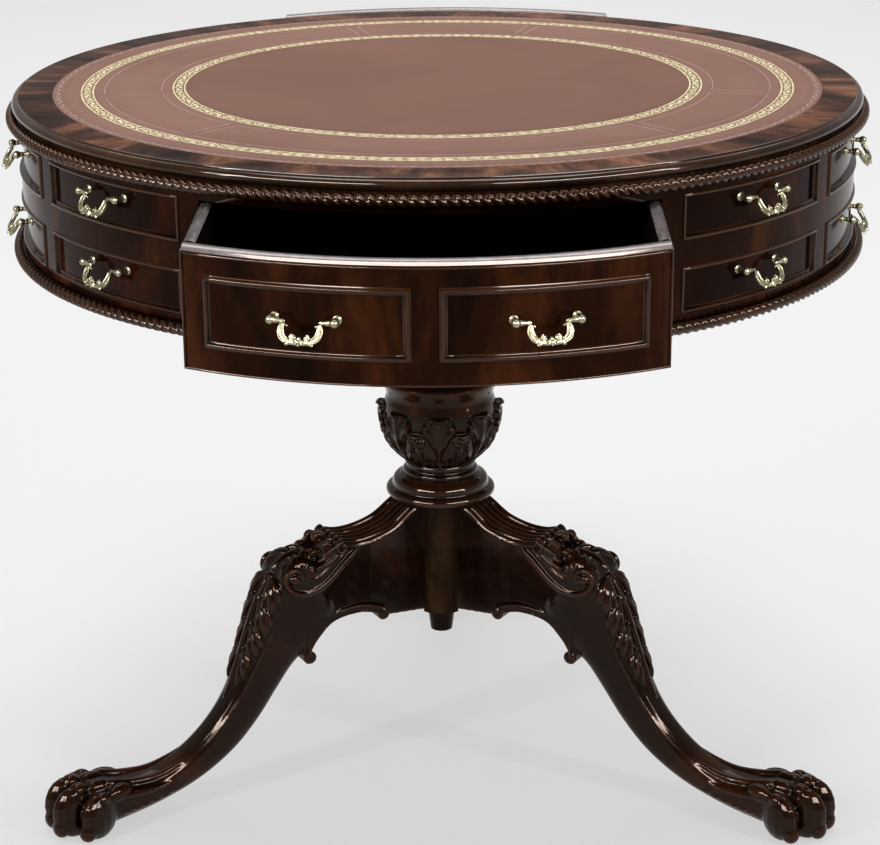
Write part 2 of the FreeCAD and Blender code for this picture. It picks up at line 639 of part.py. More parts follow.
def post_shape(side, field):
    """One ball-headed post in the pull's frame; side is -1 or 1."""
    half, ball = value("pull_span") / 2, value("ball_radius")
    standoff, flange = value("pull_standoff"), value("post_base_thickness")
    base, neck = value("post_base_radius"), value("post_neck_radius")
    outline = [(0, base), (flange, base), (2 * flange, neck)]
    outline += [(standoff + along * ball, radius * ball) for along, radius in BALL_SHARES]
    x_axis, z_axis = Vector(1, 0, 0), Vector(0, 0, 1)
    shape = skinned([round_ring(Vector(0, height - standoff, 0), radius, x_axis, z_axis, PULL_SIDES)
                     for height, radius in outline])
    lean = math.degrees(math.asin(half / (field + standoff)))
    shape.rotate(Vector(), z_axis, -side * lean)
    shape.translate(Vector(side * half, 0, 0))
    bore = value("bail_pin_radius + bail_pin_clearance") / math.cos(math.pi / PULL_SIDES)
    ends = [Vector(side * half - ball, 0, 0), Vector(side * half + ball, 0, 0)]
    return shape.cut(skinned([round_ring(end, bore, Vector(0, 1, 0), z_axis, PULL_SIDES) for end in ends]))


def make_posts():
    """The posts of each drawer and of the sides, as three groups."""
    groups = {}
    for _, owner, field, height, angle in pull_places():
        frame = pull_frame(owner, field, height, angle)
        for side in (-1, 1):
            post = post_shape(side, field)
            post.Placement = frame.multiply(post.Placement)
            groups.setdefault(owner, []).append(post)
    for owner, posts in groups.items():
        label = "side_pull_posts" if owner == "side" else f"{owner}_drawer_pull_posts"
        keep(feature(f"{owner}_posts", Part.makeCompound(posts)), label)


def bail_stations():
    """Place and thickness of a bail's cross-sections, from one pin to the other."""
    half, drop, wire = value("pull_span / 2"), value("bail_drop"), value("bail_wire_radius")
    pin, shoulder = value("bail_pin_radius"), value("bail_shoulder_radius")
    inner_end = half - value("ball_radius + bail_shoulder_gap")
    side = [(half + value("bail_pin_depth"), 0, pin), (inner_end, 0, pin),
            (inner_end - SHOULDER_SLOPE_SHARE * shoulder, 0, shoulder)]
    side += [(along * half, -down * drop, thick * wire) for along, down, thick in BAIL_SHARES]
    left = [(-x, z, radius) for x, z, radius in side]
    return left + [(0, -drop, BAIL_KNOP_SHARE * wire)] + side[::-1]


def bail_shape():
    """A swan-neck bail hanging straight down, in the pull's frame."""
    stations = bail_stations()
    centres = [Vector(x, 0, z) for x, z, _ in stations]
    rings = []
    for index, (_, _, radius) in enumerate(stations):
        before, after = centres[max(index - 1, 0)], centres[min(index + 1, len(centres) - 1)]
        along = (after - before).normalize()
        up = along.cross(Vector(0, 1, 0))
        rings.append(round_ring(centres[index], radius, Vector(0, 1, 0), up, PULL_SIDES))
    return skinned(rings)


def make_bails():
    """Every bail rests on its stop, tilted out from the panel."""
    shape = bail_shape()
    tilt = Placement(Vector(), Rotation(Vector(1, 0, 0), value("bail_rest_angle")))
    for name, owner, field, height, angle in pull_places():
        item = feature(f"{name}_casting", shape)
        item.Placement = pull_frame(owner, field, height, angle).multiply(tilt)
        keep(item, f"bail_{name}")


# The pedestal

def make_column():
    """Mounting block, turned column, collar, post and tapered block, threaded on one rod."""
    block = cylinder("block_blank", "block_radius", BLOCK_LOW, BOTTOM_LOW)
    through = (f"{BLOCK_LOW} - cut_overrun", f"{BOTTOM_LOW} + cut_overrun")
    rod_hole = cylinder("block_rod_hole", ROD_BORE, *through)
    shank = cylinder("block_screw_hole", "screw_radius", *through)
    bind(shank, Placement__Base__x="screw_circle_radius")
    sink = screw_head("block_screw_sink")
    doc.recompute()
    holes = [rod_hole.Shape]
    for tool in (shank, sink):
        holes += spread(tool.Shape, screw_angles())
    chamfered = doc.addObject("Part::Chamfer", "block_edge")
    chamfered.Base = block
    slope = BLOCK_CHAMFER_SHARE * value("block_thickness")
    chamfered.Edges = [(block_low_edge(block), slope, slope)]
    keep(cut("block", chamfered, feature("block_holes", Part.makeCompound(holes))), "mounting_block")
    urn = bored_outline(URN_SHARES, "urn_radius", COLLAR_HIGH, "urn_height")
    turned_piece("pedestal_urn", urn)
    collar = bored_outline(COLLAR_SHARES, "collar_radius", COLLAR_LOW, "collar_height")
    turned_piece("pedestal_collar", collar)
    make_post()
    make_foot_block()
    make_screws()


def block_low_edge(block):
    """Number of the round edge at the foot of the block."""
    lowest = min(range(len(block.Shape.Edges)), key=lambda index: edge_rank(block.Shape.Edges[index]))
    return lowest + 1


def edge_rank(edge):
    """Closed round edges first, the lowest of them in front."""
    return (not edge.isClosed(), edge.BoundBox.ZMax)


def screw_head(name):
    head = doc.addObject("Part::Cone", name)
    bind(head, Radius1="screw_head_radius", Radius2="screw_radius", Height="screw_head_radius - screw_radius",
         Placement__Base__z=BLOCK_LOW, Placement__Base__x="screw_circle_radius")
    return head


def make_screws():
    shank = cylinder("screw_shank", "screw_radius", BLOCK_LOW, f"{BOTTOM_LOW} + screw_bite")
    bind(shank, Placement__Base__x="screw_circle_radius")
    head = screw_head("screw_sunk_head")
    screw = doc.addObject("Part::Fuse", "screw")
    screw.Base = shank
    screw.Tool = head
    doc.recompute()
    keep(feature("screws", Part.makeCompound(spread(screw.Shape, screw_angles()))), "flange_screws")


def dovetail(clearance, low, high):
    """Tongue of a leg along +X, wider inside the post than at its surface."""
    surface = value("post_radius")
    inside = surface - value("dovetail_depth") - clearance
    wide = value("dovetail_width") / 2 + clearance
    neck = value("dovetail_neck") / 2 + clearance
    past = surface + value("cut_overrun")
    corners = [Vector(inside, wide, low), Vector(surface, neck, low), Vector(past, neck, low),
               Vector(past, -neck, low), Vector(surface, -neck, low), Vector(inside, -wide, low)]
    return Part.Face(Part.makePolygon(corners + corners[:1])).extrude(Vector(0, 0, high - low))


def make_post():
    """Round post with a dovetail housing for each leg."""
    blank = cylinder("post_blank", "post_radius", POST_LOW, COLLAR_LOW)
    bore = Part.makeCylinder(value(ROD_BORE), value("post_height + 2 * cut_overrun"),
                             Vector(0, 0, value(f"{POST_LOW} - cut_overrun")))
    housing = dovetail(value("dovetail_clearance"), value(f"{POST_LOW} - cut_overrun"), value(COLLAR_LOW))
    tools = Part.makeCompound([bore] + spread(housing, LEG_AZIMUTHS.values()))
    keep(cut("post", blank, feature("post_housings", tools)), "leg_post")


def make_foot_block():
    """Tapered block with a pocket for the lower nut, the rod and its two nuts."""
    blank = doc.addObject("Part::Cone", "foot_block_blank")
    bind(blank, Radius1="foot_block_low_radius", Radius2="foot_block_top_radius", Height="foot_block_height",
         Placement__Base__z=FOOT_LOW)
    bore = cylinder("foot_block_bore", ROD_BORE, f"{FOOT_LOW} - cut_overrun", f"{POST_LOW} + cut_overrun")
    pocket_high = f"({FOOT_LOW} + 2 * nut_height)"
    pocket = cylinder("foot_block_pocket", "nut_pocket_radius", f"{FOOT_LOW} - cut_overrun", pocket_high)
    bored = cut("foot_block_bored", blank, bore)
    keep(cut("foot_block", bored, pocket), "post_foot_block")
    nut_low = f"({pocket_high} - nut_height)"
    nut_high = f"({APRON_LOW} + nut_height)"
    keep(cylinder("rod", "rod_radius", nut_low, nut_high), "tie_rod")
    nuts = []
    for name, low in (("lower_nut", nut_low), ("upper_nut", APRON_LOW)):
        prism = doc.addObject("Part::Prism", f"{name}_blank")
        prism.Polygon = 6
        bind(prism, Circumradius="nut_radius", Height="nut_height", Placement__Base__z=low)
        hole = cylinder(f"{name}_hole", "rod_radius", f"{low} - cut_overrun",
                        f"{low} + nut_height + cut_overrun")
        nuts.append(cut(name, prism, hole))
    keep(group("nuts", nuts), "tie_rod_nuts")


# The legs

def in_leg(shares):
    """A point of the leg's middle plane from its reach and rise shares."""
    return Vector(shares[0] * value("leg_reach"), 0, shares[1] * value(LEG_RISE))


def smooth_rows(rows, count):
    """Rows on a smooth curve through the given rows."""
    first = [2 * a - b for a, b in zip(rows[0], rows[1])]
    last = [2 * a - b for a, b in zip(rows[-1], rows[-2])]
    ends = [first, *rows, last]
    result = []
    for step in range(count):
        place = step * (len(rows) - 1) / (count - 1)
        index = min(int(place), len(rows) - 2)
        t = place - index
        before, start, end, after = ends[index:index + 4]
        result.append([curve_value(*numbers, t) for numbers in zip(before, start, end, after)])
    return result


def curve_value(before, start, end, after, t):
    """A cubic from start to end whose slopes follow the neighbours."""
    slope, end_slope = (end - before) / 2, (after - start) / 2
    rest = end - start
    return start + t * (slope + t * (3 * rest - 2 * slope - end_slope + t * (slope + end_slope - 2 * rest)))


def squared(number):
    """A sine or cosine pushed outwards, so that an ellipse turns squarer."""
    return math.copysign(abs(number) ** LIMB_SQUARE_SHARE, number)


def leg_limb():
    """Cabriole limb through rounded sections square to its line."""
    rings = []
    for reach, rise, slope, depth_share, width_share in smooth_rows(LEG_STATION_SHARES, LIMB_STEPS):
        depth = depth_share * value("leg_depth")
        width = width_share * value("leg_width")
        outward = Vector(-math.sin(math.radians(slope)), 0, math.cos(math.radians(slope)))
        ring = []
        for angle in corner_angles(LIMB_SIDES):
            out, side = depth * squared(math.cos(angle)), width * squared(math.sin(angle))
            ring.append(in_leg((reach, rise)) + outward * out + Vector(0, side, 0))
        rings.append(ring)
    return skinned(rings)


def curve_points(shares):
    """Points along the arc through three points of the leg's plane, and the outward direction at each."""
    arc = Part.Arc(*[in_leg(point) for point in shares])
    first, last = arc.FirstParameter, arc.LastParameter
    places = [first + (last - first) * step / (CURVE_STEPS - 1) for step in range(CURVE_STEPS)]
    return [(arc.value(place), arc.tangent(place)[0].cross(Vector(0, 1, 0))) for place in places]


def along_curve(shares, profile):
    """A profile of (across, outward) pairs carried along an arc of the leg's plane."""
    return skinned([[place + Vector(0, across, 0) + outward * height for across, height in profile]
                    for place, outward in curve_points(shares)])


def fluted_cap():
    """The hollow top of a leg with flutes along it."""
    width, depth = value("cap_width"), value("flute_depth")
    pitch = width / FLUTES
    top = [(number * pitch + across * pitch - width / 2, -down * depth)
           for number in range(FLUTES) for across, down in FLUTE_SHARES]
    under = -value("cap_thickness")
    return along_curve(CAP_SHARES, top + [(width / 2, under), (-width / 2, under)])


def arch_band():
    """Raised band along the arch under the bracket."""
    half, thick = value("arch_band_width") / 2, value("arch_band_thickness")
    return along_curve(ARCH_SHARES, [(-half, 0), (half, 0), (half, thick), (-half, thick)])


def leg_bracket():
    """Flat web from the post to the knee, hollow on top and arched below."""
    top = [place - outward * value("cap_thickness / 2") for place, outward in curve_points(CAP_SHARES)]
    knee = [in_leg(point) for point in BRACKET_KNEE_SHARES]
    arch = [place for place, _ in curve_points(ARCH_SHARES)]
    root = [in_leg(point) for point in BRACKET_ROOT_SHARES]
    outline = top + knee + arch + root
    web = Part.Face(Part.makePolygon(outline + outline[:1])).extrude(Vector(0, value("leg_web"), 0))
    web.translate(Vector(0, -value("leg_web") / 2, 0))
    return web


def roll(centre, radius, width):
    """Scroll end: a short roll across the leg."""
    ends = [centre + Vector(0, side * width / 2, 0) for side in (-1, 1)]
    return skinned([round_ring(end, radius, Vector(1, 0, 0), Vector(0, 0, 1), LIMB_SIDES) for end in ends])


def leg_rolls():
    """The roll that ends the flutes, the scrolls of the knee and those at the ends of the arch."""
    cap_radius = value("cap_roll_radius")
    cap_end, outward = curve_points(CAP_SHARES)[-1]
    arch_radius, arch_width = value("arch_volute_radius"), value("arch_band_width")
    return [roll(cap_end - outward * cap_radius, cap_radius, value("cap_width")),
            roll(in_leg(KNEE_SCROLL_SHARES), value("knee_scroll_radius"), value("leg_width")),
            *[roll(in_leg(shares), arch_radius, arch_width) for shares in ARCH_VOLUTE_SHARES]]


def pebble(length, width, height):
    """A rounded lump from its three half sizes."""
    rings = []
    for polar in TOE_RING_ANGLES:
        spread_share, up_share = math.sin(math.radians(polar)), math.cos(math.radians(polar))
        corners = round_ring(Vector(), spread_share, Vector(length, 0, 0), Vector(0, width, 0), PULL_SIDES)
        rings.append([corner + Vector(0, 0, height * up_share) for corner in corners])
    return skinned(rings)


def paw_toes():
    """Rounded toes and their knuckles on both halves of the paw."""
    lumps = []
    for reach, offset, rise, turn, long_share, wide_share, high_share in TOE_SHARES:
        for side in (-1, 1):
            lump = pebble(value("toe_length") / 2 * long_share, value("toe_width") / 2 * wide_share,
                          value("toe_height") / 2 * high_share)
            lump.rotate(Vector(), Vector(0, 0, 1), side * turn)
            lump.translate(in_leg((reach, rise)) + Vector(0, side * offset * value("toe_width"), 0))
            lumps.append(lump)
    return lumps


def leg_shape():
    """One leg along +X."""
    shape = leg_limb().fuse([leg_bracket(), fluted_cap(), arch_band()] + leg_rolls() + paw_toes())
    reach, rise = value("leg_reach"), value(LEG_RISE)
    ground = Part.makeBox(2 * reach, 2 * reach, rise, Vector(-reach, -reach, -rise))
    post = Part.makeCylinder(value("post_radius + seat_gap"), rise + value("2 * cut_overrun"),
                             Vector(0, 0, -value("cut_overrun")))
    ceiling = Part.makeBox(2 * reach, 2 * reach, rise, Vector(-reach, -reach, rise))
    shape = shape.cut(ground).cut(post).cut(ceiling)
    root_low = in_leg(BRACKET_ROOT_SHARES[1]).z
    root_high = in_leg(BRACKET_ROOT_SHARES[2]).z
    tongue = dovetail(0, max(root_low, value(POST_LOW)), root_high)
    return shape.fuse(tongue).removeSplitter()


def make_legs():
    shape = leg_shape()
    for label, azimuth in LEG_AZIMUTHS.items():
        item = feature(f"{label}_carving", shape)
        item.Placement = turned_about_z(azimuth)
        keep(item, label)


def check_document():
    """Stop if an object failed or a sub-part has no sound shape."""
    for item in doc.Objects:
        if "Invalid" in item.State or "Error" in item.State:
            raise RuntimeError(f"{item.Label} failed: {item.State}")
    for item in parts:
        if item.Shape.isNull() or not item.Shape.isValid() or not item.Shape.Solids:
            raise RuntimeError(f"{item.Label} has no sound shape")


def write_parts():
    os.makedirs("parts", exist_ok=True)
    for item in parts:
        item.Shape.exportStep(os.path.join("parts", f"{item.Label}.step"))


fill_sheet()
make_top()
make_rope("upper_rope_moulding", "(overall_height - top_edge_height)")
make_rope("lower_rope_moulding", APRON_LOW)
make_aprons()
make_rails()
make_bottom_board()
make_inner_boards()
for end_name in ("front", "rear"):
    make_drawer(end_name)
make_posts()
make_bails()
make_column()
make_legs()
doc.recompute()
check_document()
write_parts()
print(len(parts), "sub-parts")
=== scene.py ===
"""Looks of the captain's desk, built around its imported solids.

Carved and cast pieces are shaped in millimetres and become objects in metres. The origin lies on the
floor under the column, +Z is up and the front drawer faces -Y.
"""
import json
import math

import bpy
import numpy as np
from mathutils import Matrix, Vector

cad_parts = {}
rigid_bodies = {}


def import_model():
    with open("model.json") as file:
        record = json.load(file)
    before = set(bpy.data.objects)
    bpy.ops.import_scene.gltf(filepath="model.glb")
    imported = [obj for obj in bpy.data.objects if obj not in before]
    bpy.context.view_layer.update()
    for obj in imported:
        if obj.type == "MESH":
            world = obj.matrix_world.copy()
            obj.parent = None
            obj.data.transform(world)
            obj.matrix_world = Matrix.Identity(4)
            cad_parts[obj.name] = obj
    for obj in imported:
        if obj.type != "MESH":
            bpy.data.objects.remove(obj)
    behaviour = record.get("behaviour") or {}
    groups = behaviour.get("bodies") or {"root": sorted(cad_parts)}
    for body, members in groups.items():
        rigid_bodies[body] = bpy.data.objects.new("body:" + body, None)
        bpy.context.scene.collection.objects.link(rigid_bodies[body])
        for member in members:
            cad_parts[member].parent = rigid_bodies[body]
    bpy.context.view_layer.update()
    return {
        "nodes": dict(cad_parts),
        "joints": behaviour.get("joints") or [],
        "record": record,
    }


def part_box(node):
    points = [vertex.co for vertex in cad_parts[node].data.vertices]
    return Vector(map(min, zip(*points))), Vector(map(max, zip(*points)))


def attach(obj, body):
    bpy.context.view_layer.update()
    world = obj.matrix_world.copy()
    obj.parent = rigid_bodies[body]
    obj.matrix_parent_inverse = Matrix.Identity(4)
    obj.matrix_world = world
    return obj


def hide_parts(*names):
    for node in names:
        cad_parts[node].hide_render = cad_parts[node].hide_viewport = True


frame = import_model()

MM = 0.001


def box_mm(node):
    """Lowest and highest corner of a CAD node in millimetres."""
    low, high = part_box(node)
    return np.array(low) / MM, np.array(high) / MM


# Curves and closed forms

BALL_RINGS = 9
BALL_SIDES = 14


def circle(count):
    """Angles of points spaced evenly round a circle, in radians."""
    return np.linspace(0, 2 * math.pi, count, endpoint=False)


def smooth_path(points, count):
    """A smooth curve through the points, as count rows."""
    points = np.asarray(points, float)
    ends = np.vstack([2 * points[0] - points[1], points, 2 * points[-1] - points[-2]])
    steps = np.linspace(0, len(points) - 1, count)
    index = np.minimum(steps.astype(int), len(points) - 2)
    t = (steps - index)[:, None]
    a, b, c, d = (ends[index + k] for k in range(4))
    square = 2 * a - 5 * b + 4 * c - d
    cube = 3 * b - a - 3 * c + d
    return 0.5 * (2 * b + (c - a) * t + square * t ** 2 + cube * t ** 3)


def unit(vectors):
    """Vectors, one in each row, brought to length 1."""
    return vectors / np.linalg.norm(vectors, axis=-1, keepdims=True)


def directions(path):
    """Unit vectors along a path."""
    return unit(np.gradient(path, axis=0))


def along_line(count, places, values):
    """Values at points of a line, given at shares of its length."""
    return np.interp(np.linspace(0, 1, count), places, values)


def upright(points, y=0.0):
    """Points (x, z) of an upright plane as points in space at y."""
    points = np.asarray(points, float)
    return np.column_stack([points[:, 0], np.broadcast_to(y, len(points)), points[:, 1]])


def on_drum(angle, height, radius):
    """Points at angles about the drum's axis, in radians from +X."""
    angle, height, radius = np.broadcast_arrays(angle, height, radius)
    return np.stack([radius * np.cos(angle), radius * np.sin(angle), height], -1)


def turned(points, axis, degrees):
    """Points turned about an axis through the origin."""
    turn = np.array(Matrix.Rotation(math.radians(degrees), 3, axis))
    return np.asarray(points, float) @ turn.T


def rounded_section(sides, square):
    """Points round a unit section: 2 is a circle, more is squarer."""
    turns = circle(sides)
    section = np.column_stack([np.cos(turns), np.sin(turns)])
    return np.sign(section) * np.abs(section) ** (2 / square)


class Clay:
    """Closed forms in millimetres that become one mesh."""

    def __init__(self):
        self.points = []
        self.faces = []
        self.count = 0

    def add(self, points, faces):
        """Points with faces that count from the first of them."""
        self.points.append(np.asarray(points, float))
        self.faces.extend([[index + self.count for index in face] for face in faces])
        self.count += len(points)

    def rings(self, rings):
        """A closed skin through rings of points, with a fan over each end."""
        rings = np.asarray(rings, float)
        rows, columns = rings.shape[:2]
        faces = []
        for row in range(rows - 1):
            for column in range(columns):
                after = (column + 1) % columns
                low, high = row * columns, (row + 1) * columns
                faces.append([low + column, low + after, high + after, high + column])
        first, last = rows * columns, rows * columns + 1
        top = (rows - 1) * columns
        for column in range(columns):
            after = (column + 1) % columns
            faces.append([first, after, column])
            faces.append([last, top + column, top + after])
        centres = [rings[0].mean(0), rings[-1].mean(0)]
        self.add(np.vstack([rings.reshape(-1, 3), centres]), faces)

    def tube(self, path, wide, thick=None, sides=10, across=None, square=2.0):
        """A bar along a path; wide is its half width along across, thick its other half width."""
        path = np.asarray(path, float)
        wide = np.broadcast_to(wide, len(path))
        thick = wide if thick is None else np.broadcast_to(thick, len(path))
        along = directions(path)
        if across is None:
            across = np.eye(3)[np.argmin(np.abs(along[0]))]
        section = rounded_section(sides, square)
        rings = []
        for centre, direction, half_wide, half_thick in zip(path, along, wide, thick):
            across = unit(across - direction * (across @ direction))
            up = np.cross(direction, across)
            ring = np.outer(section[:, 0] * half_wide, across) + np.outer(section[:, 1] * half_thick, up)
            rings.append(centre + ring)
        self.rings(rings)

    def ball(self, centre, radii, axis="Z", degrees=0):
        """An ellipsoid turned about one axis through its centre."""
        turns = circle(BALL_SIDES)
        skin = []
        for polar in np.linspace(0, math.pi, BALL_RINGS + 2)[1:-1]:
            ring = on_drum(turns, np.cos(polar), np.sin(polar))
            skin.append(turned(ring * np.asarray(radii, float), axis, degrees) + centre)
        self.rings(skin)

    def lathe(self, outline, sides):
        """A turned form from (radius, height) rows that start and end near the axis."""
        self.rings([on_drum(circle(sides), height, radius) for radius, height in outline])

    def loop(self, grid):
        """A skin over a grid of points that joins up in both directions."""
        rows, columns = grid.shape[:2]
        faces = []
        for row in range(rows):
            low, high = row * columns, (row + 1) % rows * columns
            for column in range(columns):
                after = (column + 1) % columns
                faces.append([low + column, high + column, high + after, low + after])
        self.add(grid.reshape(-1, 3), faces)

    def mesh(self, name):
        """All forms as one smooth mesh in metres."""
        mesh = bpy.data.meshes.new(name)
        mesh.from_pydata((np.vstack(self.points) * MM).tolist(), [], self.faces)
        mesh.validate()
        mesh.polygons.foreach_set("use_smooth", [True] * len(mesh.polygons))
        return mesh


HOLLOW_STEPS = 8  # rounds of smoothing that hollows are measured against
HOLLOW_DEPTH = 0.7  # millimetres that count as a full hollow
SHARP_EDGE = math.radians(40)
SEAT_GAP = 0.2  # between pieces that sit in one another


def linked(name, data):
    """A new object in the scene."""
    item = bpy.data.objects.new(name, data)
    bpy.context.scene.collection.objects.link(item)
    return item


def new_object(name, mesh, material):
    """A new object with one material."""
    item = linked(name, mesh)
    mesh.materials.clear()
    mesh.materials.append(material)
    return item


def dress(item, body, slot, *nodes):
    """Let a piece ride on its body and stand for CAD nodes; slot is not used."""
    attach(item, body)
    if nodes:
        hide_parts(*nodes)


def piece(clay, name, material, body, slot, *nodes, hollow=None, sharp=False):
    """One finished piece from its forms; hollow is the depth in millimetres that counts as full."""
    mesh = clay.mesh(name)
    if hollow:
        mark_hollows(mesh, hollow)
    if sharp:
        mesh.set_sharp_from_angle(angle=SHARP_EDGE)
    dress(new_object(name, mesh, material), body, slot, *nodes)
    return mesh


def mark_hollows(mesh, depth_scale):
    """Store how deep each point lies: above 0 in grooves, below 0 on ridges."""
    count = len(mesh.vertices)
    points = np.empty(count * 3)
    mesh.vertices.foreach_get("co", points)
    points = points.reshape(-1, 3)
    normals = np.empty(count * 3, np.float32)
    mesh.vertex_normals.foreach_get("vector", normals)
    ends = np.empty(len(mesh.edges) * 2, np.int64)
    mesh.edges.foreach_get("vertices", ends)
    first, second = ends.reshape(-1, 2).T
    degree = np.maximum(np.bincount(first, minlength=count) + np.bincount(second, minlength=count), 1)
    soft = points.copy()
    for _ in range(HOLLOW_STEPS):
        total = np.zeros_like(soft)
        for axis in range(3):
            total[:, axis] += np.bincount(first, soft[second, axis], count)
            total[:, axis] += np.bincount(second, soft[first, axis], count)
        soft = total / degree[:, None]
    depth = ((soft - points) * normals.reshape(-1, 3)).sum(1) / (depth_scale * MM)
    layer = mesh.attributes.new("hollow", "FLOAT", "POINT")
    layer.data.foreach_set("value", np.clip(depth, -1, 1).astype(np.float32))


def fused(name, clay, voxel, floor=None, depth_scale=HOLLOW_DEPTH):
    """One carved surface over all the forms, with its hollows marked."""
    draft = linked(name, clay.mesh(name))
    remesh = draft.modifiers.new("fuse", "REMESH")
    remesh.mode = "VOXEL"
    remesh.voxel_size = voxel * MM
    remesh.use_smooth_shade = True
    soften = draft.modifiers.new("soften", "SMOOTH")
    soften.factor = 0.5
    soften.iterations = 1
    bpy.context.view_layer.update()
    graph = bpy.context.evaluated_depsgraph_get()
    mesh = bpy.data.meshes.new_from_object(draft.evaluated_get(graph))
    bpy.data.objects.remove(draft)
    mesh.name = name
    if floor is not None:
        for vertex in mesh.vertices:
            vertex.co.z = max(vertex.co.z, floor * MM)
    mark_hollows(mesh, depth_scale)
    return mesh


# Materials

MIX_INPUTS = (0, 6, 7)  # sockets of a Mix node for its factor and two colours
MIX_OUTPUT = 2


class Shader:
    """A material with short calls to add and join its nodes."""

    def __init__(self, name):
        self.material = bpy.data.materials.new(name)
        self.material.use_nodes = True
        self.tree = self.material.node_tree
        self.surface = self.tree.nodes["Principled BSDF"]

    def add(self, kind, *links, **settings):
        """A node; links are sockets for its inputs in order, None where an input stays as it is."""
        node = self.tree.nodes.new(kind)
        for name, setting in settings.items():
            if hasattr(node, name):
                setattr(node, name, setting)
            else:
                node.inputs[name.replace("_", " ")].default_value = setting
        for socket, link in zip(node.inputs, links):
            if link is not None:
                self.tree.links.new(link, socket)
        return node

    def feed(self, socket, item):
        """Link a socket, or set its number or colour."""
        if isinstance(item, tuple):
            socket.default_value = (*item, 1)
        elif isinstance(item, (int, float)):
            socket.default_value = item
        else:
            self.tree.links.new(item, socket)

    def math(self, operation, *inputs):
        """A Math node; inputs are sockets or numbers."""
        node = self.add("ShaderNodeMath", operation=operation)
        for socket, item in zip(node.inputs, inputs):
            self.feed(socket, item)
        return node.outputs[0]

    def ramp(self, socket, *stops):
        """A colour ramp over a socket; stops are (place, colour)."""
        node = self.add("ShaderNodeValToRGB", socket)
        elements = node.color_ramp.elements
        while len(elements) < len(stops):
            elements.new(0.5)
        for element, (place, colour) in zip(elements, stops):
            element.position = place
            element.color = (*colour, 1)
        return node.outputs["Color"]

    def mix(self, factor, first, second, blend="MIX"):
        """Two colours mixed by a socket; a colour may be a plain tuple."""
        node = self.add("ShaderNodeMix", data_type="RGBA", blend_type=blend)
        for index, item in zip(MIX_INPUTS, (factor, first, second)):
            self.feed(node.inputs[index], item)
        return node.outputs[MIX_OUTPUT]

    def place(self, scale=(1, 1, 1)):
        """Object coordinates in metres, stretched by scale."""
        coordinates = self.add("ShaderNodeTexCoord")
        return self.add("ShaderNodeMapping", coordinates.outputs["Object"], Scale=scale).outputs[0]

    def radius(self):
        """Distance from the upright axis in metres."""
        coordinates = self.add("ShaderNodeTexCoord").outputs["Object"]
        flat = self.add("ShaderNodeVectorMath", coordinates, operation="MULTIPLY")
        flat.inputs[1].default_value = (1, 1, 0)
        return self.add("ShaderNodeVectorMath", flat.outputs[0], operation="LENGTH").outputs["Value"]

    def noise(self, place, scale, detail=4.0, distortion=0.0):
        """Cloudy noise from 0 to 1."""
        node = self.add("ShaderNodeTexNoise", place, Scale=scale, Detail=detail, Distortion=distortion)
        return node.outputs["Fac"]

    def bump(self, height, strength, distance):
        """Fine relief under the light; distance in metres."""
        node = self.add("ShaderNodeBump", Strength=strength, Distance=distance)
        self.tree.links.new(height, node.inputs["Height"])
        self.tree.links.new(node.outputs[0], self.surface.inputs["Normal"])

    def set(self, **settings):
        """Constants on the shader's own sockets."""
        for name, setting in settings.items():
            self.surface.inputs[name.replace("_", " ")].default_value = setting

    def join(self, socket, name):
        """Let a socket drive one of the shader's inputs."""
        self.tree.links.new(socket, self.surface.inputs[name])

    def hollow(self):
        """Depth of the surface: above 0 in grooves, below 0 on ridges."""
        return self.add("ShaderNodeAttribute", attribute_name="hollow").outputs["Fac"]


PORE_STRETCH = 9  # how much closer the pores lie than the grain's own stretch
PORE_NOISE = 14.0
SHELLAC = (1.0, 0.46, 0.22, 1.0)  # warmth that the polish gives to reflections
PANEL_SHADE = (0.62, 0.46, 0.36)  # darker, redder veneer in the sunk panels of the drum
# Painted shade: the colour that grooves of carving, beads and rope are darkened towards
GROOVE_PAINTED_SHADE = (0.0022, 0.0012, 0.0008)
BUMP_DEPTH = 0.0004  # metres


def mahogany(name, stretch, dark, warm, glow, figure=7.0, distortion=1.2, shine=0.07, coat=0.10,
             sunk_radius=0.0):
    """Dark polished mahogany. stretch sets the grain: small numbers run along it.

    Inside sunk_radius, in metres from the axis, the wood is that of the sunk panels.
    """
    shader = Shader(name)
    flame = shader.noise(shader.place(stretch), figure, 5.0, distortion)
    colour = shader.ramp(flame, (0.30, dark), (0.52, warm), (0.74, glow))
    pores = shader.noise(shader.place(tuple(axis * PORE_STRETCH for axis in stretch)), PORE_NOISE, 3.0)
    streaks = shader.ramp(pores, (0.35, (0.62, 0.60, 0.58)), (0.60, (1.0, 1.0, 1.0)))
    colour = shader.mix(0.75, colour, streaks, "MULTIPLY")
    if sunk_radius:
        sunk = shader.math("LESS_THAN", shader.radius(), sunk_radius)
        colour = shader.mix(sunk, colour, PANEL_SHADE, "MULTIPLY")
    hollow = shader.hollow()
    groove = shader.math("MAXIMUM", hollow, 0.0)
    ridge = shader.math("MAXIMUM", shader.math("MULTIPLY", hollow, -0.7), 0.0)
    # Grooves darkened as painted shade
    colour = shader.mix(groove, colour, GROOVE_PAINTED_SHADE)
    # Ridges lightened: partly rubbed wear, partly painted highlight
    colour = shader.mix(ridge, colour, tuple(1.25 * part for part in glow))
    shader.join(colour, "Base Color")
    rough = shader.math("MULTIPLY_ADD", pores, 0.12, 0.09)
    shader.join(shader.math("MULTIPLY_ADD", groove, 0.35, rough), "Roughness")
    shader.bump(pores, 0.05, BUMP_DEPTH)
    shader.set(Specular_IOR_Level=shine, Specular_Tint=SHELLAC, Coat_Weight=coat, Coat_Roughness=0.07)
    return shader.material


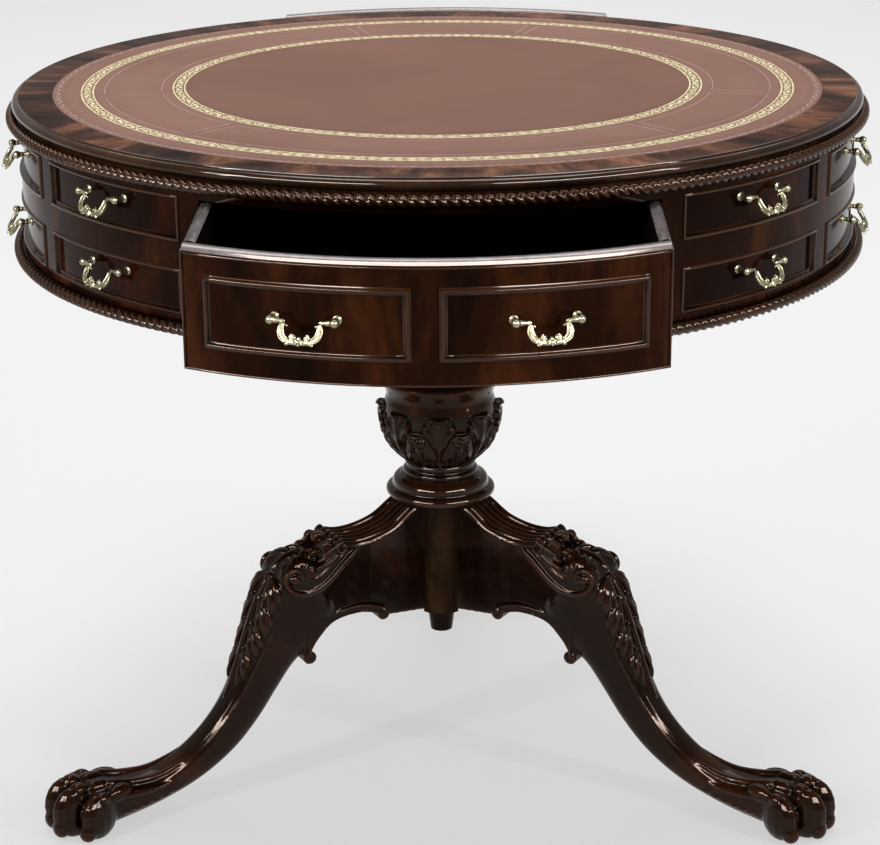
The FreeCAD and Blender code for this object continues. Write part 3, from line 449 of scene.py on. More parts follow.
def banded_rim():
    """Cross-banded veneer on the rim of the top, its grain towards the middle."""
    shader = Shader("rim_veneer")
    coordinates = shader.add("ShaderNodeTexCoord").outputs["Object"]
    parts = shader.add("ShaderNodeSeparateXYZ", coordinates).outputs
    around = shader.math("ARCTAN2", parts[1], parts[0])
    outward = shader.math("MULTIPLY", shader.radius(), 0.9)
    grain = shader.add("ShaderNodeCombineXYZ", around, outward, parts[2]).outputs[0]
    mottle = shader.noise(grain, 9.0, 3.0, 0.6)
    streak = shader.noise(grain, 70.0, 4.0, 0.2)
    colour = shader.ramp(mottle, (0.32, (0.018, 0.006, 0.004)), (0.50, (0.078, 0.030, 0.016)),
                         (0.70, (0.260, 0.112, 0.060)))
    lines = shader.ramp(streak, (0.36, (0.55, 0.53, 0.52)), (0.62, (1.0, 1.0, 1.0)))
    colour = shader.mix(0.8, colour, lines, "MULTIPLY")
    shader.join(colour, "Base Color")
    shader.join(shader.math("MULTIPLY_ADD", streak, 0.15, 0.20), "Roughness")
    shader.bump(streak, 0.04, 0.0003)
    shader.set(Specular_IOR_Level=0.02, Specular_Tint=SHELLAC, Coat_Weight=0.04, Coat_Roughness=0.1)
    return shader.material


def flecked(name, scale, stops, rough, detail=4.0, distortion=0.0, stretch=(1, 1, 1), bump=0.0, **settings):
    """A finish whose colour and gloss follow one noise; rough is its spread and its least."""
    shader = Shader(name)
    fleck = shader.noise(shader.place(stretch), scale, detail, distortion)
    shader.join(shader.ramp(fleck, *stops), "Base Color")
    shader.join(shader.math("MULTIPLY_ADD", fleck, *rough), "Roughness")
    if bump:
        shader.bump(fleck, bump, BUMP_DEPTH)
    shader.set(**settings)
    return shader.material


def leather(tone_edge):
    """Smooth hide, paler outside tone_edge metres from the middle."""
    shader = Shader("hide")
    outside = shader.math("GREATER_THAN", shader.radius(), tone_edge)
    cloud = shader.noise(shader.place(), 5.0, 4.0, 0.5)
    colour = shader.mix(outside, FIELD_COLOUR, BAND_COLOUR)
    shade = shader.ramp(cloud, (0.30, (0.86, 0.85, 0.85)), (0.70, (1.0, 1.0, 1.0)))
    colour = shader.mix(1.0, colour, shade, "MULTIPLY")
    cells = shader.add("ShaderNodeTexVoronoi", shader.place(), Scale=650.0)
    grain = shader.noise(shader.place(), 420.0, 5.0)
    pebble = shader.math("ADD", cells.outputs["Distance"], grain)
    shader.join(colour, "Base Color")
    shader.join(shader.math("MULTIPLY_ADD", grain, 0.25, 0.50), "Roughness")
    shader.bump(pebble, 0.12, 0.0003)
    shader.set(Specular_IOR_Level=0.0)
    return shader.material


def brass():
    """Antique cast brass: pale on the high places, olive in the hollows."""
    shader = Shader("antique_brass")
    patina = shader.noise(shader.place(), 260.0, 5.0, 0.4)
    colour = shader.ramp(patina, (0.30, (0.25, 0.222, 0.12)), (0.60, (0.42, 0.385, 0.265)))
    groove = shader.math("MAXIMUM", shader.hollow(), 0.0)
    colour = shader.mix(groove, colour, (0.05, 0.040, 0.012))
    shader.join(colour, "Base Color")
    rough = shader.math("MULTIPLY_ADD", patina, 0.2, 0.20)
    shader.join(shader.math("MULTIPLY_ADD", groove, 0.3, rough), "Roughness")
    shader.bump(patina, 0.08, 0.0002)
    shader.set(Metallic=0.92)
    return shader.material


DRUM_RADIUS = box_mm("apron_right")[1][0]
DARK = (0.0070, 0.0017, 0.0006)
WARM = (0.0340, 0.0088, 0.0026)
GLOW = (0.1450, 0.0400, 0.0115)
UPRIGHT = (1.0, 1.0, 0.35)
CARVED = (1.0, 1.0, 1.0)
FIELD_COLOUR = (0.236, 0.134, 0.106)
BAND_COLOUR = (0.285, 0.166, 0.133)

finish = {
    "figured": mahogany("figured_mahogany", UPRIGHT, DARK, WARM, GLOW, 11.0, 1.6, 0.05, 0.05,
                        sunk_radius=(DRUM_RADIUS - 1) * MM),
    "plain": mahogany("plain_mahogany", UPRIGHT, DARK, (0.015, 0.0045, 0.0020), (0.042, 0.0120, 0.0045)),
    "moulding": mahogany("moulding_mahogany", CARVED, (0.007, 0.0024, 0.0012), (0.022, 0.0074, 0.0030),
                         (0.070, 0.0260, 0.0095), shine=0.16, coat=0.40),
    "carved": mahogany("carved_mahogany", CARVED, (0.0045, 0.0016, 0.0010), (0.0140, 0.0046, 0.0022),
                       (0.0700, 0.0210, 0.0075), 9.0, 0.8, shine=0.10, coat=0.25),
    "turned": mahogany("turned_mahogany", CARVED, (0.0140, 0.0050, 0.0021), (0.0420, 0.0155, 0.0062),
                       (0.1100, 0.0390, 0.0140), 12.0, 0.8, shine=0.10, coat=0.20),
    "post": mahogany("post_mahogany", UPRIGHT, (0.022, 0.0100, 0.0050), (0.058, 0.0270, 0.0118),
                     (0.115, 0.0570, 0.0250), 22.0, shine=0.04, coat=0.05),
    "polished": mahogany("polished_mahogany", CARVED, (0.0050, 0.0018, 0.0009), (0.0130, 0.0045, 0.0020),
                         (0.0450, 0.0150, 0.0060), shine=0.16, coat=0.50),
    "nosing": mahogany("nosing_mahogany", CARVED, (0.014, 0.0052, 0.0023), (0.050, 0.0205, 0.0090),
                       (0.120, 0.0520, 0.0220), shine=0.10, coat=0.45),
    # Pale grey over a high gloss: a painted highlight on the upper edges of the drawer boards
    "edge": mahogany("polished_edge_painted_highlight", UPRIGHT, (0.15, 0.137, 0.145), (0.25, 0.235, 0.245), (0.36, 0.34, 0.36),
                     shine=1.0, coat=1.0),
    "rim": banded_rim(),
    # Near-black wood inside the drum and the drawers
    "lining": flecked("near_black_lining", 60.0,
                      [(0.35, (0.004, 0.0022, 0.0018)), (0.65, (0.013, 0.006, 0.0045))], (0.2, 0.32),
                      5.0, 0.4, (1.0, 0.12, 1.0), 0.05, Specular_IOR_Level=0.03),
    "brass": brass(),
    # Plain zinc-plated steel
    "steel": flecked("plain_steel", 300.0, [(0.3, (0.34, 0.34, 0.35)), (0.7, (0.50, 0.50, 0.52))],
                     (0.2, 0.28), Metallic=1.0),
    # Gold leaf pressed into the leather, rubbed in places
    "gilt": flecked("gilt", 160.0, [(0.36, (0.50, 0.41, 0.19)), (0.56, (0.88, 0.80, 0.54))],
                    (0.2, 0.45), Metallic=0.20, Specular_IOR_Level=0.05),
    # Pale lines drawn on the leather with a warm iron
    "tool_line": flecked("tool_line", 90.0, [(0.30, (0.36, 0.225, 0.19)), (0.70, (0.46, 0.31, 0.27))],
                         (0.2, 0.35), 3.0, Specular_IOR_Level=0.05),
}


def finish_nodes():
    """Give the CAD nodes that stay in view their finish."""
    by_node = {"apron_left": "figured", "apron_right": "figured", "leg_post": "post", "drawer_rails": "plain",
               "bottom_board": "plain", "mounting_block": "plain", "post_foot_block": "plain"}
    by_slot = {"mahogany": "moulding", "drawer_lining": "lining", "brass": "brass", "steel": "steel",
               "leather": "rim"}
    for part in frame["record"]["subparts"]:
        node = part["node"]
        item = frame["nodes"][node]
        item.data.materials.clear()
        item.data.materials.append(finish[by_node.get(node, by_slot[part["material_slot"]])])


# Table top and rope mouldings

# Moulded edge of the top as (inset from its widest place, drop from its upper face)
TOP_FILLET = [(7.0, 0.0), (6.3, 0.3), (6.0, 0.9), (5.9, 1.9)]
TOP_COVE = [(5.0, 12.8), (6.0, 13.6), (6.4, 14.0)]
NOSE_RADIUS = 5.2  # round nose between the fillet and the cove
NOSE_DROP = 7.2
NOSE_ENDS = (80, -75)  # degrees from its outermost line
NOSE_POINTS = 14
TOP_SIDES = 360
AXIS_RADIUS = 0.5  # where turned outlines start and end


def table_top():
    """Round top with a moulded edge and a bed for the hide."""
    low, high = box_mm("table_top")
    hide_low, hide_high = box_mm("leather_inlay")
    bed = hide_low[2]
    bed_edge = hide_high[0] + SEAT_GAP
    turns = np.radians(np.linspace(*NOSE_ENDS, NOSE_POINTS))
    nose = [(NOSE_RADIUS * (1 - math.cos(turn)), NOSE_DROP - NOSE_RADIUS * math.sin(turn)) for turn in turns]
    edge = reversed(TOP_FILLET + nose + TOP_COVE)
    outline = [(AXIS_RADIUS, low[2]), (DRUM_RADIUS, low[2])]
    outline += [(high[0] - inset, high[2] - drop) for inset, drop in edge]
    outline += [(bed_edge, high[2]), (bed_edge, bed), (AXIS_RADIUS, bed)]
    clay = Clay()
    clay.lathe(outline, TOP_SIDES)
    mesh = piece(clay, "table_top_turned", finish["rim"], "desk", "mahogany", "table_top", sharp=True)
    mesh.materials.append(finish["nosing"])
    for face in mesh.polygons:
        face.material_index = int(face.center.xy.length > (high[0] - TOP_FILLET[0][0]) * MM)


ROPE_PITCH = 9.8  # along the moulding, from strand to strand
ROPE_STEPS = 8  # rows of points per strand
ROPE_SIDES = 18
ROPE_SLANT = 3.0  # strands crossed in one turn round the moulding
ROPE_DEPTH_SHARE = 0.50  # groove between strands, as a share of the half height
STRAND_SHAPE = 0.8  # below 1 a strand is fuller
ROPE_BACK_SHARE = 0.6  # strip behind the strands, as a share of the half height


def rope(node):
    """A twisted rope round the drum in the place of a plain ring."""
    low, high = box_mm(node)
    half = (high[2] - low[2]) / 2
    spine = high[0] - half
    middle = (low[2] + high[2]) / 2
    strands = round(2 * math.pi * spine / ROPE_PITCH)
    around, turn = np.meshgrid(circle(strands * ROPE_STEPS), circle(ROPE_SIDES), indexing="ij")
    lobe = np.abs(np.cos((strands * around + ROPE_SLANT * turn) / 2)) ** STRAND_SHAPE
    reach = half * (1 - ROPE_DEPTH_SHARE * (1 - lobe))
    clay = Clay()
    clay.loop(on_drum(around, middle + reach * np.sin(turn), spine + reach * np.cos(turn)))
    strip = [(DRUM_RADIUS, -1), (spine, -1), (spine, 1), (DRUM_RADIUS, 1)]
    clay.loop(np.stack([on_drum(around[:, 0], middle + side * ROPE_BACK_SHARE * half, radius)
                        for radius, side in strip], 1))
    piece(clay, node + "_twist", finish["moulding"], "desk", "mahogany", node, hollow=HOLLOW_DEPTH)


# Drawers and panels

CROWN_SHARE = 0.125  # rise of the round upper edge of a board, as a share of its thickness
CROWN_STEPS = 11
EDGE_ROUND = 1.2  # rounding of the other edges
FRONT_ROWS = 48  # cross-sections along a bowed front
DRAWER_SHIFT = {"front": box_mm("front_drawer_front")[0][1] + DRUM_RADIUS,
                "rear": box_mm("rear_drawer_front")[1][1] - DRUM_RADIUS}
FACING = {"front": -1, "rear": 1}
FRONT_THICK = 24
BEAD_STEPS = 20  # points along each side of a bead frame
FRONT_PANEL = (12, 192, 66)  # inner and outer edge from the middle of the drawer, height
SIDE_PANEL = (26.5, 45)  # degrees, height
SIDE_PULL_LIFT = 8  # pull above the middle of its panel
HIGHLIGHT_PAINT_SLOPE = 0.3  # faces that look up more than this are polished and painted pale as a highlight
# Profiles of the beads from their outer edge: inset, and height over the face of the drum
FRONT_BEAD = [(0.0, -1.0), (0.0, 0.5), (0.8, 0.8), (1.1, 2.2), (1.7, 3.3), (2.7, 3.9), (3.8, 3.9), (4.7, 3.3),
              (5.2, 2.2), (5.4, 1.3), (6.3, 1.0), (6.9, 0.4), (7.0, -1.0)]
SIDE_BEAD = [(0.0, -4.5), (0.0, 0.3), (0.5, 1.2), (1.2, 1.8), (2.0, 2.0), (2.8, 1.7), (3.3, 1.0), (3.5, 0.2),
             (3.7, -1.2), (4.3, -2.5), (5.0, -3.2), (5.0, -4.5)]
COCK_BEAD = [(0.0, -1.0), (0.0, 0.6), (0.6, 1.1), (1.3, 1.1), (1.9, 0.6), (2.0, -1.0)]
BEAD_HOLLOW = 0.5  # millimetres that count as a full hollow of a bead


def crowned(left, right, bottom, top):
    """Outline of an upright board with a round upper edge, as (across, height) pairs."""
    half = (right - left) / 2
    rise = 2 * half * CROWN_SHARE
    radius = (half ** 2 + rise ** 2) / (2 * rise)
    turns = np.linspace(1, -1, CROWN_STEPS) * math.asin(half / radius)
    outline = [(left + half + radius * math.sin(turn), top - radius + radius * math.cos(turn))
               for turn in turns]
    outline += [(left, bottom + EDGE_ROUND), (left + EDGE_ROUND, bottom)]
    outline += [(right - EDGE_ROUND, bottom), (right, bottom + EDGE_ROUND)]
    return np.array(outline)


def drawer_front(prefix):
    """Bowed front with a polished round upper edge, painted pale as a highlight."""
    node = prefix + "_drawer_front"
    low, high = box_mm(node)
    outline = crowned(DRUM_RADIUS - FRONT_THICK, DRUM_RADIUS, low[2], high[2])
    places = np.linspace(low[0] + EDGE_ROUND, high[0] - EDGE_ROUND, FRONT_ROWS)
    middle = outline.mean(0)
    rows = [(low[0], EDGE_ROUND), *[(x, 0.0) for x in places], (high[0], EDGE_ROUND)]
    clay = Clay()
    rings = []
    for x, inset in rows:
        ring = outline - np.sign(outline - middle) * inset
        depth = FACING[prefix] * np.sqrt(ring[:, 0] ** 2 - x ** 2) + DRAWER_SHIFT[prefix]
        rings.append(np.column_stack([np.full(len(ring), x), depth, ring[:, 1]]))
    clay.rings(rings[::FACING[prefix]])
    board_with_painted_highlight(clay, node + "_bowed", "figured", prefix + "_drawer", "mahogany", node)


def board_with_painted_highlight(clay, name, look, body, slot, node):
    """A board of a drawer, with a polished finish and a pale painted highlight on what faces up."""
    mesh = piece(clay, name, finish[look], body, slot, node, sharp=True)
    mesh.materials.append(finish["edge"])
    for face in mesh.polygons:
        face.material_index = int(face.normal.z > HIGHLIGHT_PAINT_SLOPE)


def drawer_side(prefix, side):
    """Side board with a round upper edge, cut to the bow of the front."""
    node = f"{prefix}_drawer_{side}_side"
    low, high = box_mm(node)
    outline = crowned(low[0], high[0], low[2], high[2])
    bow = np.sqrt((DRUM_RADIUS - FRONT_THICK - SEAT_GAP) ** 2 - outline[:, 0] ** 2)
    starts = FACING[prefix] * bow + DRAWER_SHIFT[prefix]
    end = high[1] if FACING[prefix] < 0 else low[1]
    clay = Clay()
    clay.rings([upright(outline, depth) for depth in (starts, end)][::FACING[prefix]])
    board_with_painted_highlight(clay, node + "_board", "lining", prefix + "_drawer", "drawer_lining", node)


def bead_frame(clay, angles, heights, profile, shift=0.0):
    """A mitred bead round a panel, between two angles and two heights."""
    side = np.linspace(0, 1, BEAD_STEPS, endpoint=False)
    along = np.concatenate([side, np.ones(BEAD_STEPS), 1 - side, np.zeros(BEAD_STEPS)])
    up = np.concatenate([np.zeros(BEAD_STEPS), side, np.ones(BEAD_STEPS), 1 - side])
    lines = []
    for inset, proud in profile:
        turn = inset / DRUM_RADIUS
        angle = angles[0] + turn + along * (angles[1] - angles[0] - 2 * turn)
        height = heights[0] + inset + up * (heights[1] - heights[0] - 2 * inset)
        lines.append(on_drum(angle, height, DRUM_RADIUS + proud))
    clay.loop(np.stack(lines, 1) + (0, shift, 0))


def bead_piece(clay, node, body):
    """All the beads of one body."""
    piece(clay, node + "_beads", finish["moulding"], body, "mahogany", node, hollow=BEAD_HOLLOW, sharp=True)


def drawer_beads(prefix):
    """Two bead frames on a drawer front and a fine bead round its edge."""
    low, high = box_mm(prefix + "_drawer_front")
    inner, outer, tall = FRONT_PANEL
    middle = (low[2] + high[2]) / 2
    shoulder = high[2] - FRONT_THICK * CROWN_SHARE - EDGE_ROUND
    panel = (middle - tall / 2, middle + tall / 2)
    clay = Clay()
    for edges, heights, profile in (((-outer, -inner), panel, FRONT_BEAD),
                                    ((inner, outer), panel, FRONT_BEAD),
                                    ((low[0], high[0]), (low[2], shoulder), COCK_BEAD)):
        angles = sorted(FACING[prefix] * math.acos(edge / DRUM_RADIUS) for edge in edges)
        bead_frame(clay, angles, heights, profile, DRAWER_SHIFT[prefix])
    bead_piece(clay, prefix + "_drawer_mouldings", prefix + "_drawer")


def side_beads():
    """A bead round each panel of the sides."""
    span, tall = SIDE_PANEL
    clay = Clay()
    for _, parent, place in pull_places():
        if parent == "desk":
            x, y, z = np.array(place.translation) / MM
            angle, middle = math.atan2(y, x), z - SIDE_PULL_LIFT
            angles = angle - math.radians(span / 2), angle + math.radians(span / 2)
            bead_frame(clay, angles, (middle - tall / 2, middle + tall / 2), SIDE_BEAD)
    bead_piece(clay, "side_panel_mouldings", "desk")


def drawers():
    """Boards and beads of both drawers, and the beads of the sides."""
    for prefix in FACING:
        drawer_front(prefix)
        drawer_beads(prefix)
        for side in ("left", "right"):
            drawer_side(prefix, side)
    side_beads()


# Leather top

GILT_RINGS = [(365, 377, 98), (269, 281, 72)]  # inner radius, outer radius, waves of the vine
GILT_LINE = 1.9  # width of a gilt line
VINE_LINE = 1.6
CELL_RINGS = (293, 353)
CELL_LINE = 1.5
CELL_ENDS = (-162, -78, -42, 42, 78, 162)  # degrees from the front where the cells meet
CELL_GAP = 1.1  # degrees between the double lines where two cells meet
BLIND_RING = (397.5, 405.5, 128)
PRESS_DEPTH = 0.25  # how deep the tools press into the leather
FOIL_LIFT = 0.10  # foil above the bottom of its groove, and lines above the hide
FOIL_THICK = 0.15  # a little more than its lift, so that it sits in the hide
SHEET_DROP = 0.20  # hide below the wooden rim
LEATHER_SIDES = 360
FIELD_RINGS = (250, 200, 150, 100, 50)  # radii of the points on the plain field
VINE_STEPS = 16  # points along one wave of a vine
VINE_LEAF = 2.6  # width of its leaves, in widths of its line
VINE_LEAF_POINTS = 7


def press_radii():
    """Radii of the pressed lines with their half widths."""
    lines = [((low + high) / 2, (high - low) / 2 + GILT_LINE) for low, high, _ in GILT_RINGS]
    lines += [(radius, CELL_LINE / 2) for radius in CELL_RINGS]
    low, high, _ = BLIND_RING
    lines.append(((low + high) / 2, (high - low) / 2 + GILT_LINE / 2))
    return sorted(lines)


def leather_sheet():
    """The hide with its pressed rings, flush with the wood."""
    low, high = box_mm("leather_inlay")
    edge, top, bottom = high[0], high[2] - SHEET_DROP, low[2]
    outline = [(AXIS_RADIUS, bottom), (edge, bottom), (edge, top - PRESS_DEPTH), (edge - PRESS_DEPTH, top)]
    for radius, half in reversed(press_radii()):
        outline += [(radius + half + PRESS_DEPTH, top), (radius + half, top - PRESS_DEPTH)]
        outline += [(radius - half, top - PRESS_DEPTH), (radius - half - PRESS_DEPTH, top)]
    outline += [(radius, top) for radius in (*FIELD_RINGS, AXIS_RADIUS)]
    clay = Clay()
    clay.lathe(outline, LEATHER_SIDES)
    hide = leather((GILT_RINGS[1][1] + GILT_LINE) * MM)
    piece(clay, "leather_sheet", hide, "desk", "leather", "leather_inlay")


def ribbon(clay, radii, angles, width, height, closed=False):
    """A thin strip of foil along a curve given by radius and angle (degrees from the front)."""
    angles, radii, width = np.broadcast_arrays(np.radians(np.asarray(angles, float) - 90), radii, width)
    path = np.column_stack([radii * np.cos(angles), radii * np.sin(angles)])
    along = unit(np.roll(path, -1, 0) - np.roll(path, 1, 0)) if closed else directions(path)
    side = np.column_stack([-along[:, 1], along[:, 0]]) * width[:, None] / 2
    corners = ((1, height), (-1, height), (-1, height - FOIL_THICK), (1, height - FOIL_THICK))
    sections = np.stack([np.column_stack([path + turn * side, np.full(len(path), level)])
                         for turn, level in corners], 1)
    if closed:
        clay.loop(sections[:, ::-1])
    else:
        clay.rings(sections)


def vine(clay, low, high, waves, height, line):
    """A running vine with a leaf in every hollow, between two radii."""
    middle, swing = (low + high) / 2, (high - low) / 2 - 1.6 * line
    angles = np.linspace(0, 360, waves * VINE_STEPS, endpoint=False)
    ribbon(clay, middle + swing * np.sin(np.radians(angles * waves)), angles, line, height, True)
    step = 360 / waves
    reach = np.linspace(-1, 1, VINE_LEAF_POINTS)
    width = VINE_LEAF * line * np.sqrt(np.maximum(1 - reach ** 2, 0.02))
    for wave in range(waves):
        for place, side in ((0.25, -1), (0.75, 1)):
            radii = middle + side * swing * (0.45 + 0.25 * reach)
            ribbon(clay, radii, (wave + place) * step + reach * step * 0.20, width, height)


def tooling():
    """Gilt rings with their vines, pale cell lines and the blind border."""
    top = box_mm("leather_inlay")[1][2] - SHEET_DROP
    height = top - PRESS_DEPTH + FOIL_LIFT
    full_turn = np.linspace(0, 360, LEATHER_SIDES, endpoint=False)
    foil = Clay()
    for low, high, waves in GILT_RINGS:
        for radius in (low, high):
            ribbon(foil, radius, full_turn, GILT_LINE, height, True)
        vine(foil, low, high, waves, height, VINE_LINE)
    piece(foil, "gilt_tooling", finish["gilt"], "desk", "leather")
    lines = Clay()
    for start, end in zip(CELL_ENDS, (*CELL_ENDS[1:], CELL_ENDS[0] + 360)):
        span = np.linspace(start + CELL_GAP, end - CELL_GAP, int(end - start))
        for radius in CELL_RINGS:
            ribbon(lines, radius, span, CELL_LINE, height)
        for degrees in (span[0], span[-1]):
            ribbon(lines, np.linspace(*CELL_RINGS, 4), degrees, CELL_LINE, top + FOIL_LIFT)
    vine(lines, *BLIND_RING, height, VINE_LINE)
    piece(lines, "cell_lines", finish["tool_line"], "desk", "leather")


# Pulls

PULL_HALF = 28.5  # from the middle of a pull to a ball
BAIL_REST = 32  # degrees that a bail stands out from its panel
BALL_RADIUS = 4.0
POST_STANDOFF = 11
SCROLL_PATH = [(15.8, -2.6), (17.0, -5.5), (17.1, -9.2), (15.2, -14.4), (11.2, -17.6)]
SCROLL_WIDTH = [1.4, 2.6, 3.1, 3.1, 2.6]
NECK_PATH = [(25.2, 0), (23.0, -0.1), (20.5, -0.3), (18.0, -0.9), (16.2, -2.4)]
NECK_WIDTH = [2.6, 2.5, 2.0, 1.5, 1.2]
PIN_PATH = [(29.5, 0), (25.0, 0)]  # from the neck into the ball
TIP_PATH = [(18.6, -0.2), (16.6, 0.1), (14.8, -0.9)]
TIP_WIDTH = [1.5, 1.6, 1.5, 1.4, 1.3, 1.1, 0.9, 0.6]
HOOK_PATH = [(16.4, -3.2), (14.0, -3.5), (12.0, -4.6)]
BAR_PATH = [(11.6, -17.6), (8.4, -18.0), (4.2, -18.6), (0.0, -18.8)]
LEAF_PATH = [(8.6, -18.8), (11.2, -20.2), (12.8, -20.4)]
LEAF_TAPER = [1.4, 1.6, 1.6, 1.4, 1.2, 0.9, 0.5]
CURL = (6.2, -14.6)  # middle of the small volutes beside the palmette
BAIL_THICK = 1.9  # half the thickness of the casting
BAIL_VOXEL = 0.36
BAIL_HOLLOW = 0.22  # millimetres that count as a full hollow of the casting
PALMETTE = (-58, -29, 0, 29, 58)  # degrees of its lobes
PALMETTE_ROOT = (0, 0.8, -16.0)
FORWARD = np.array([0, 1.0, 0])  # out of the bail's plane, and across a leg


def smooth_widths(widths, count):
    """Widths along a bar, smoothed."""
    return smooth_path([[width] for width in widths], count)[:, 0]


def spiral(centre, radius, turns, start, count, shrink):
    """Points of a spiral that closes to a share of its radius; start in degrees."""
    t = np.linspace(0, 1, count)
    reach = radius * (1 - (1 - shrink) * t)
    angles = np.radians(start) + 2 * math.pi * turns * t
    return np.column_stack([centre[0] + reach * np.cos(angles), centre[1] + reach * np.sin(angles)])


def bail_mesh():
    """Cast swan-neck bail hanging straight down from its hinge axis."""
    clay = Clay()
    for side in (-1, 1):
        mirror = np.array([side, 1.0])
        clay.tube(upright(smooth_path(NECK_PATH, 14) * mirror), smooth_widths(NECK_WIDTH, 14), sides=14)
        clay.tube(upright(PIN_PATH * mirror), 1.5, sides=12)
        clay.tube(upright(smooth_path(TIP_PATH, len(TIP_WIDTH)) * mirror), TIP_WIDTH)
        hook = smooth_path(HOOK_PATH, 9) * mirror
        clay.tube(upright(hook), np.linspace(1.9, 0.7, 9), np.linspace(1.6, 0.8, 9), across=FORWARD)
        scroll = smooth_path(SCROLL_PATH, 22) * mirror
        width = smooth_widths(SCROLL_WIDTH, 22)
        clay.tube(upright(scroll), BAIL_THICK, width, sides=14, across=FORWARD)
        offset = directions(scroll)[:, ::-1] * (1, -1) * side * (width[:, None] - 0.6)
        for edge in (-1, 1):
            clay.tube(upright(scroll + edge * offset, BAIL_THICK - 0.3), 0.75, sides=8)
        clay.ball((CURL[0] * side, 0, CURL[1]), (3.2, 1.5, 3.2))
        curl = spiral((CURL[0] * side, CURL[1]), 2.8, side * -1.4, 90, 26, 0.15)
        clay.tube(upright(curl, 1.1), np.linspace(0.9, 0.6, 26), sides=8)
        clay.tube(upright(smooth_path(BAR_PATH, 12) * mirror), 1.6, 2.4, sides=12, across=FORWARD)
        clay.tube(upright(smooth_path(LEAF_PATH, len(LEAF_TAPER)) * mirror), LEAF_TAPER, sides=8)
    root = np.array(PALMETTE_ROOT)
    for lobe in PALMETTE:
        end = root + turned([[0, 0.9, -6.4 + abs(lobe) * 0.025]], "Y", lobe)[0]
        clay.tube([root, (root + end) / 2 + (0, 0.8, 0), end], [0.8, 1.35, 0.7], sides=8)
    clay.ball((0, 1.4, -15.6), (1.9, 1.4, 1.9))
    return fused("bail_cast", clay, BAIL_VOXEL, depth_scale=BAIL_HOLLOW)


def pull_places():
    """Name of the bail, carrying body and frame of each pull, from the hinges."""
    for joint in frame["joints"]:
        if joint["type"] == "hinge":
            across = Vector(joint["axis"])
            outward = Vector((0, 0, 1)).cross(across)
            place = Matrix((across, outward, (0, 0, 1))).transposed().to_4x4()
            place.translation = joint["pos_m"]
            yield joint["child"], joint["parent"], place


POST_OUTLINE = [(0.3, -0.2), (4.4, -0.2), (4.4, 0.6), (3.8, 1.2), (2.8, 1.6), (2.2, 2.8), (2.1, 4.6),
                (2.3, 5.6), (2.8, 6.1), (2.4, 6.6)]
POST_SIDES = 28
BALL_ENDS = (140, 4)  # degrees from the tip of a post's ball, where its outline starts and ends
PANEL_CURVE = 440  # about the radius of the panels; it sets how far the posts lean


def post_points():
    """Outline of one ball-headed post, from its flange outwards."""
    outline = list(POST_OUTLINE)
    for polar in np.radians(np.linspace(*BALL_ENDS, 16)):
        outline.append((BALL_RADIUS * math.sin(polar), POST_STANDOFF + BALL_RADIUS * math.cos(polar)))
    return outline


def pulls():
    """Cast bails on their hinges and the posts of each body that carries pulls."""
    cast = bail_mesh()
    cast.materials.append(finish["brass"])
    lean = math.degrees(math.asin(PULL_HALF / (PANEL_CURVE + POST_STANDOFF)))
    posts = {}
    for child, parent, place in pull_places():
        mesh = cast.copy()
        mesh.transform(place @ Matrix.Rotation(math.radians(BAIL_REST), 4, "X"))
        dress(linked(child + "_cast", mesh), child, "brass", child)
        group = posts.setdefault(parent, Clay())
        to_row = np.array(place.to_3x3())
        for side in (-1, 1):
            post = Clay()
            post.lathe(post_points(), POST_SIDES)
            points = post.points[0] - (0, 0, POST_STANDOFF)
            points = turned(turned(points, "X", -90), "Z", -side * lean) + (side * PULL_HALF, 0, 0)
            group.add(points @ to_row.T + np.array(place.translation) / MM, post.faces)
    for parent, clay in posts.items():
        prefix = "side" if parent == "desk" else parent
        piece(clay, prefix + "_posts_cast", finish["brass"], parent, "brass", prefix + "_pull_posts",
              hollow=HOLLOW_DEPTH)


# Column

LEAVES = 8
COLUMN_VOXEL = 1.0
COLUMN_SIDES = 160
COLUMN_HOLLOW = 1.1  # millimetres that count as a full hollow
# Turned outline of the column as (radius, height over its foot)
COLUMN_RINGS = [(6.0, 0), (39.6, 0), (41.8, 2.0), (42.4, 4.0), (41.8, 6.0), (39.6, 7.6), (36.0, 8.2),
                (35.6, 8.8), (38.2, 9.6), (40.0, 12.0), (40.0, 15.0), (38.2, 17.6), (35.6, 18.6),
                (35.4, 20.4)]
BULB_PATH = [(35.8, 21.5), (45.0, 29.0), (54.0, 40.0), (61.0, 55.0), (63.6, 70.0), (62.6, 84.0), (60.0, 94.0),
             (60.5, 99.0), (63.0, 105.0), (65.0, 109.0)]
BULB_POINTS = 44
FLARE_POINTS = 12
FRONT = 270  # degrees of the front about the axis, from +X
COLUMN_SHAFT = [(65.8, 111.0), (65.6, 113.0), (64.0, 114.4), (57.0, 115.0), (53.5, 116.0), (52.6, 118.0),
                (50.5, 120.4), (47.0, 123.0), (45.0, 128.0), (44.6, 140.0), (43.6, 165.0), (43.2, 190.0),
                (45.6, 195.0), (47.6, 198.0), (48.2, 201.0), (47.6, 204.0), (46.0, 206.6), (46.0, 209.0)]
FLARE_PATH = [(46.2, 210.0), (49.0, 222.0), (56.0, 234.0), (69.2, 242.9)]
COLLAR_RINGS = [(12.0, 0), (56.0, 0), (59.0, 0.6), (61.0, 2.4), (61.6, 4.8), (61.0, 7.2), (59.2, 9.0),
                (56.0, 10.0), (54.6, 10.6), (54.2, 11.6), (54.0, 15.0), (53.2, 18.0), (51.4, 20.4),
                (48.4, 22.0), (45.8, 22.6), (45.0, 23.2)]
COLLAR_TOP = 44.6  # radius of its upper face
COLLAR_SIDES = 128
LEAF_ROWS = 30
LEAF_POINTS = 17  # across one leaf
LEAF_HALF = 17.5  # half its angle round the column, in degrees
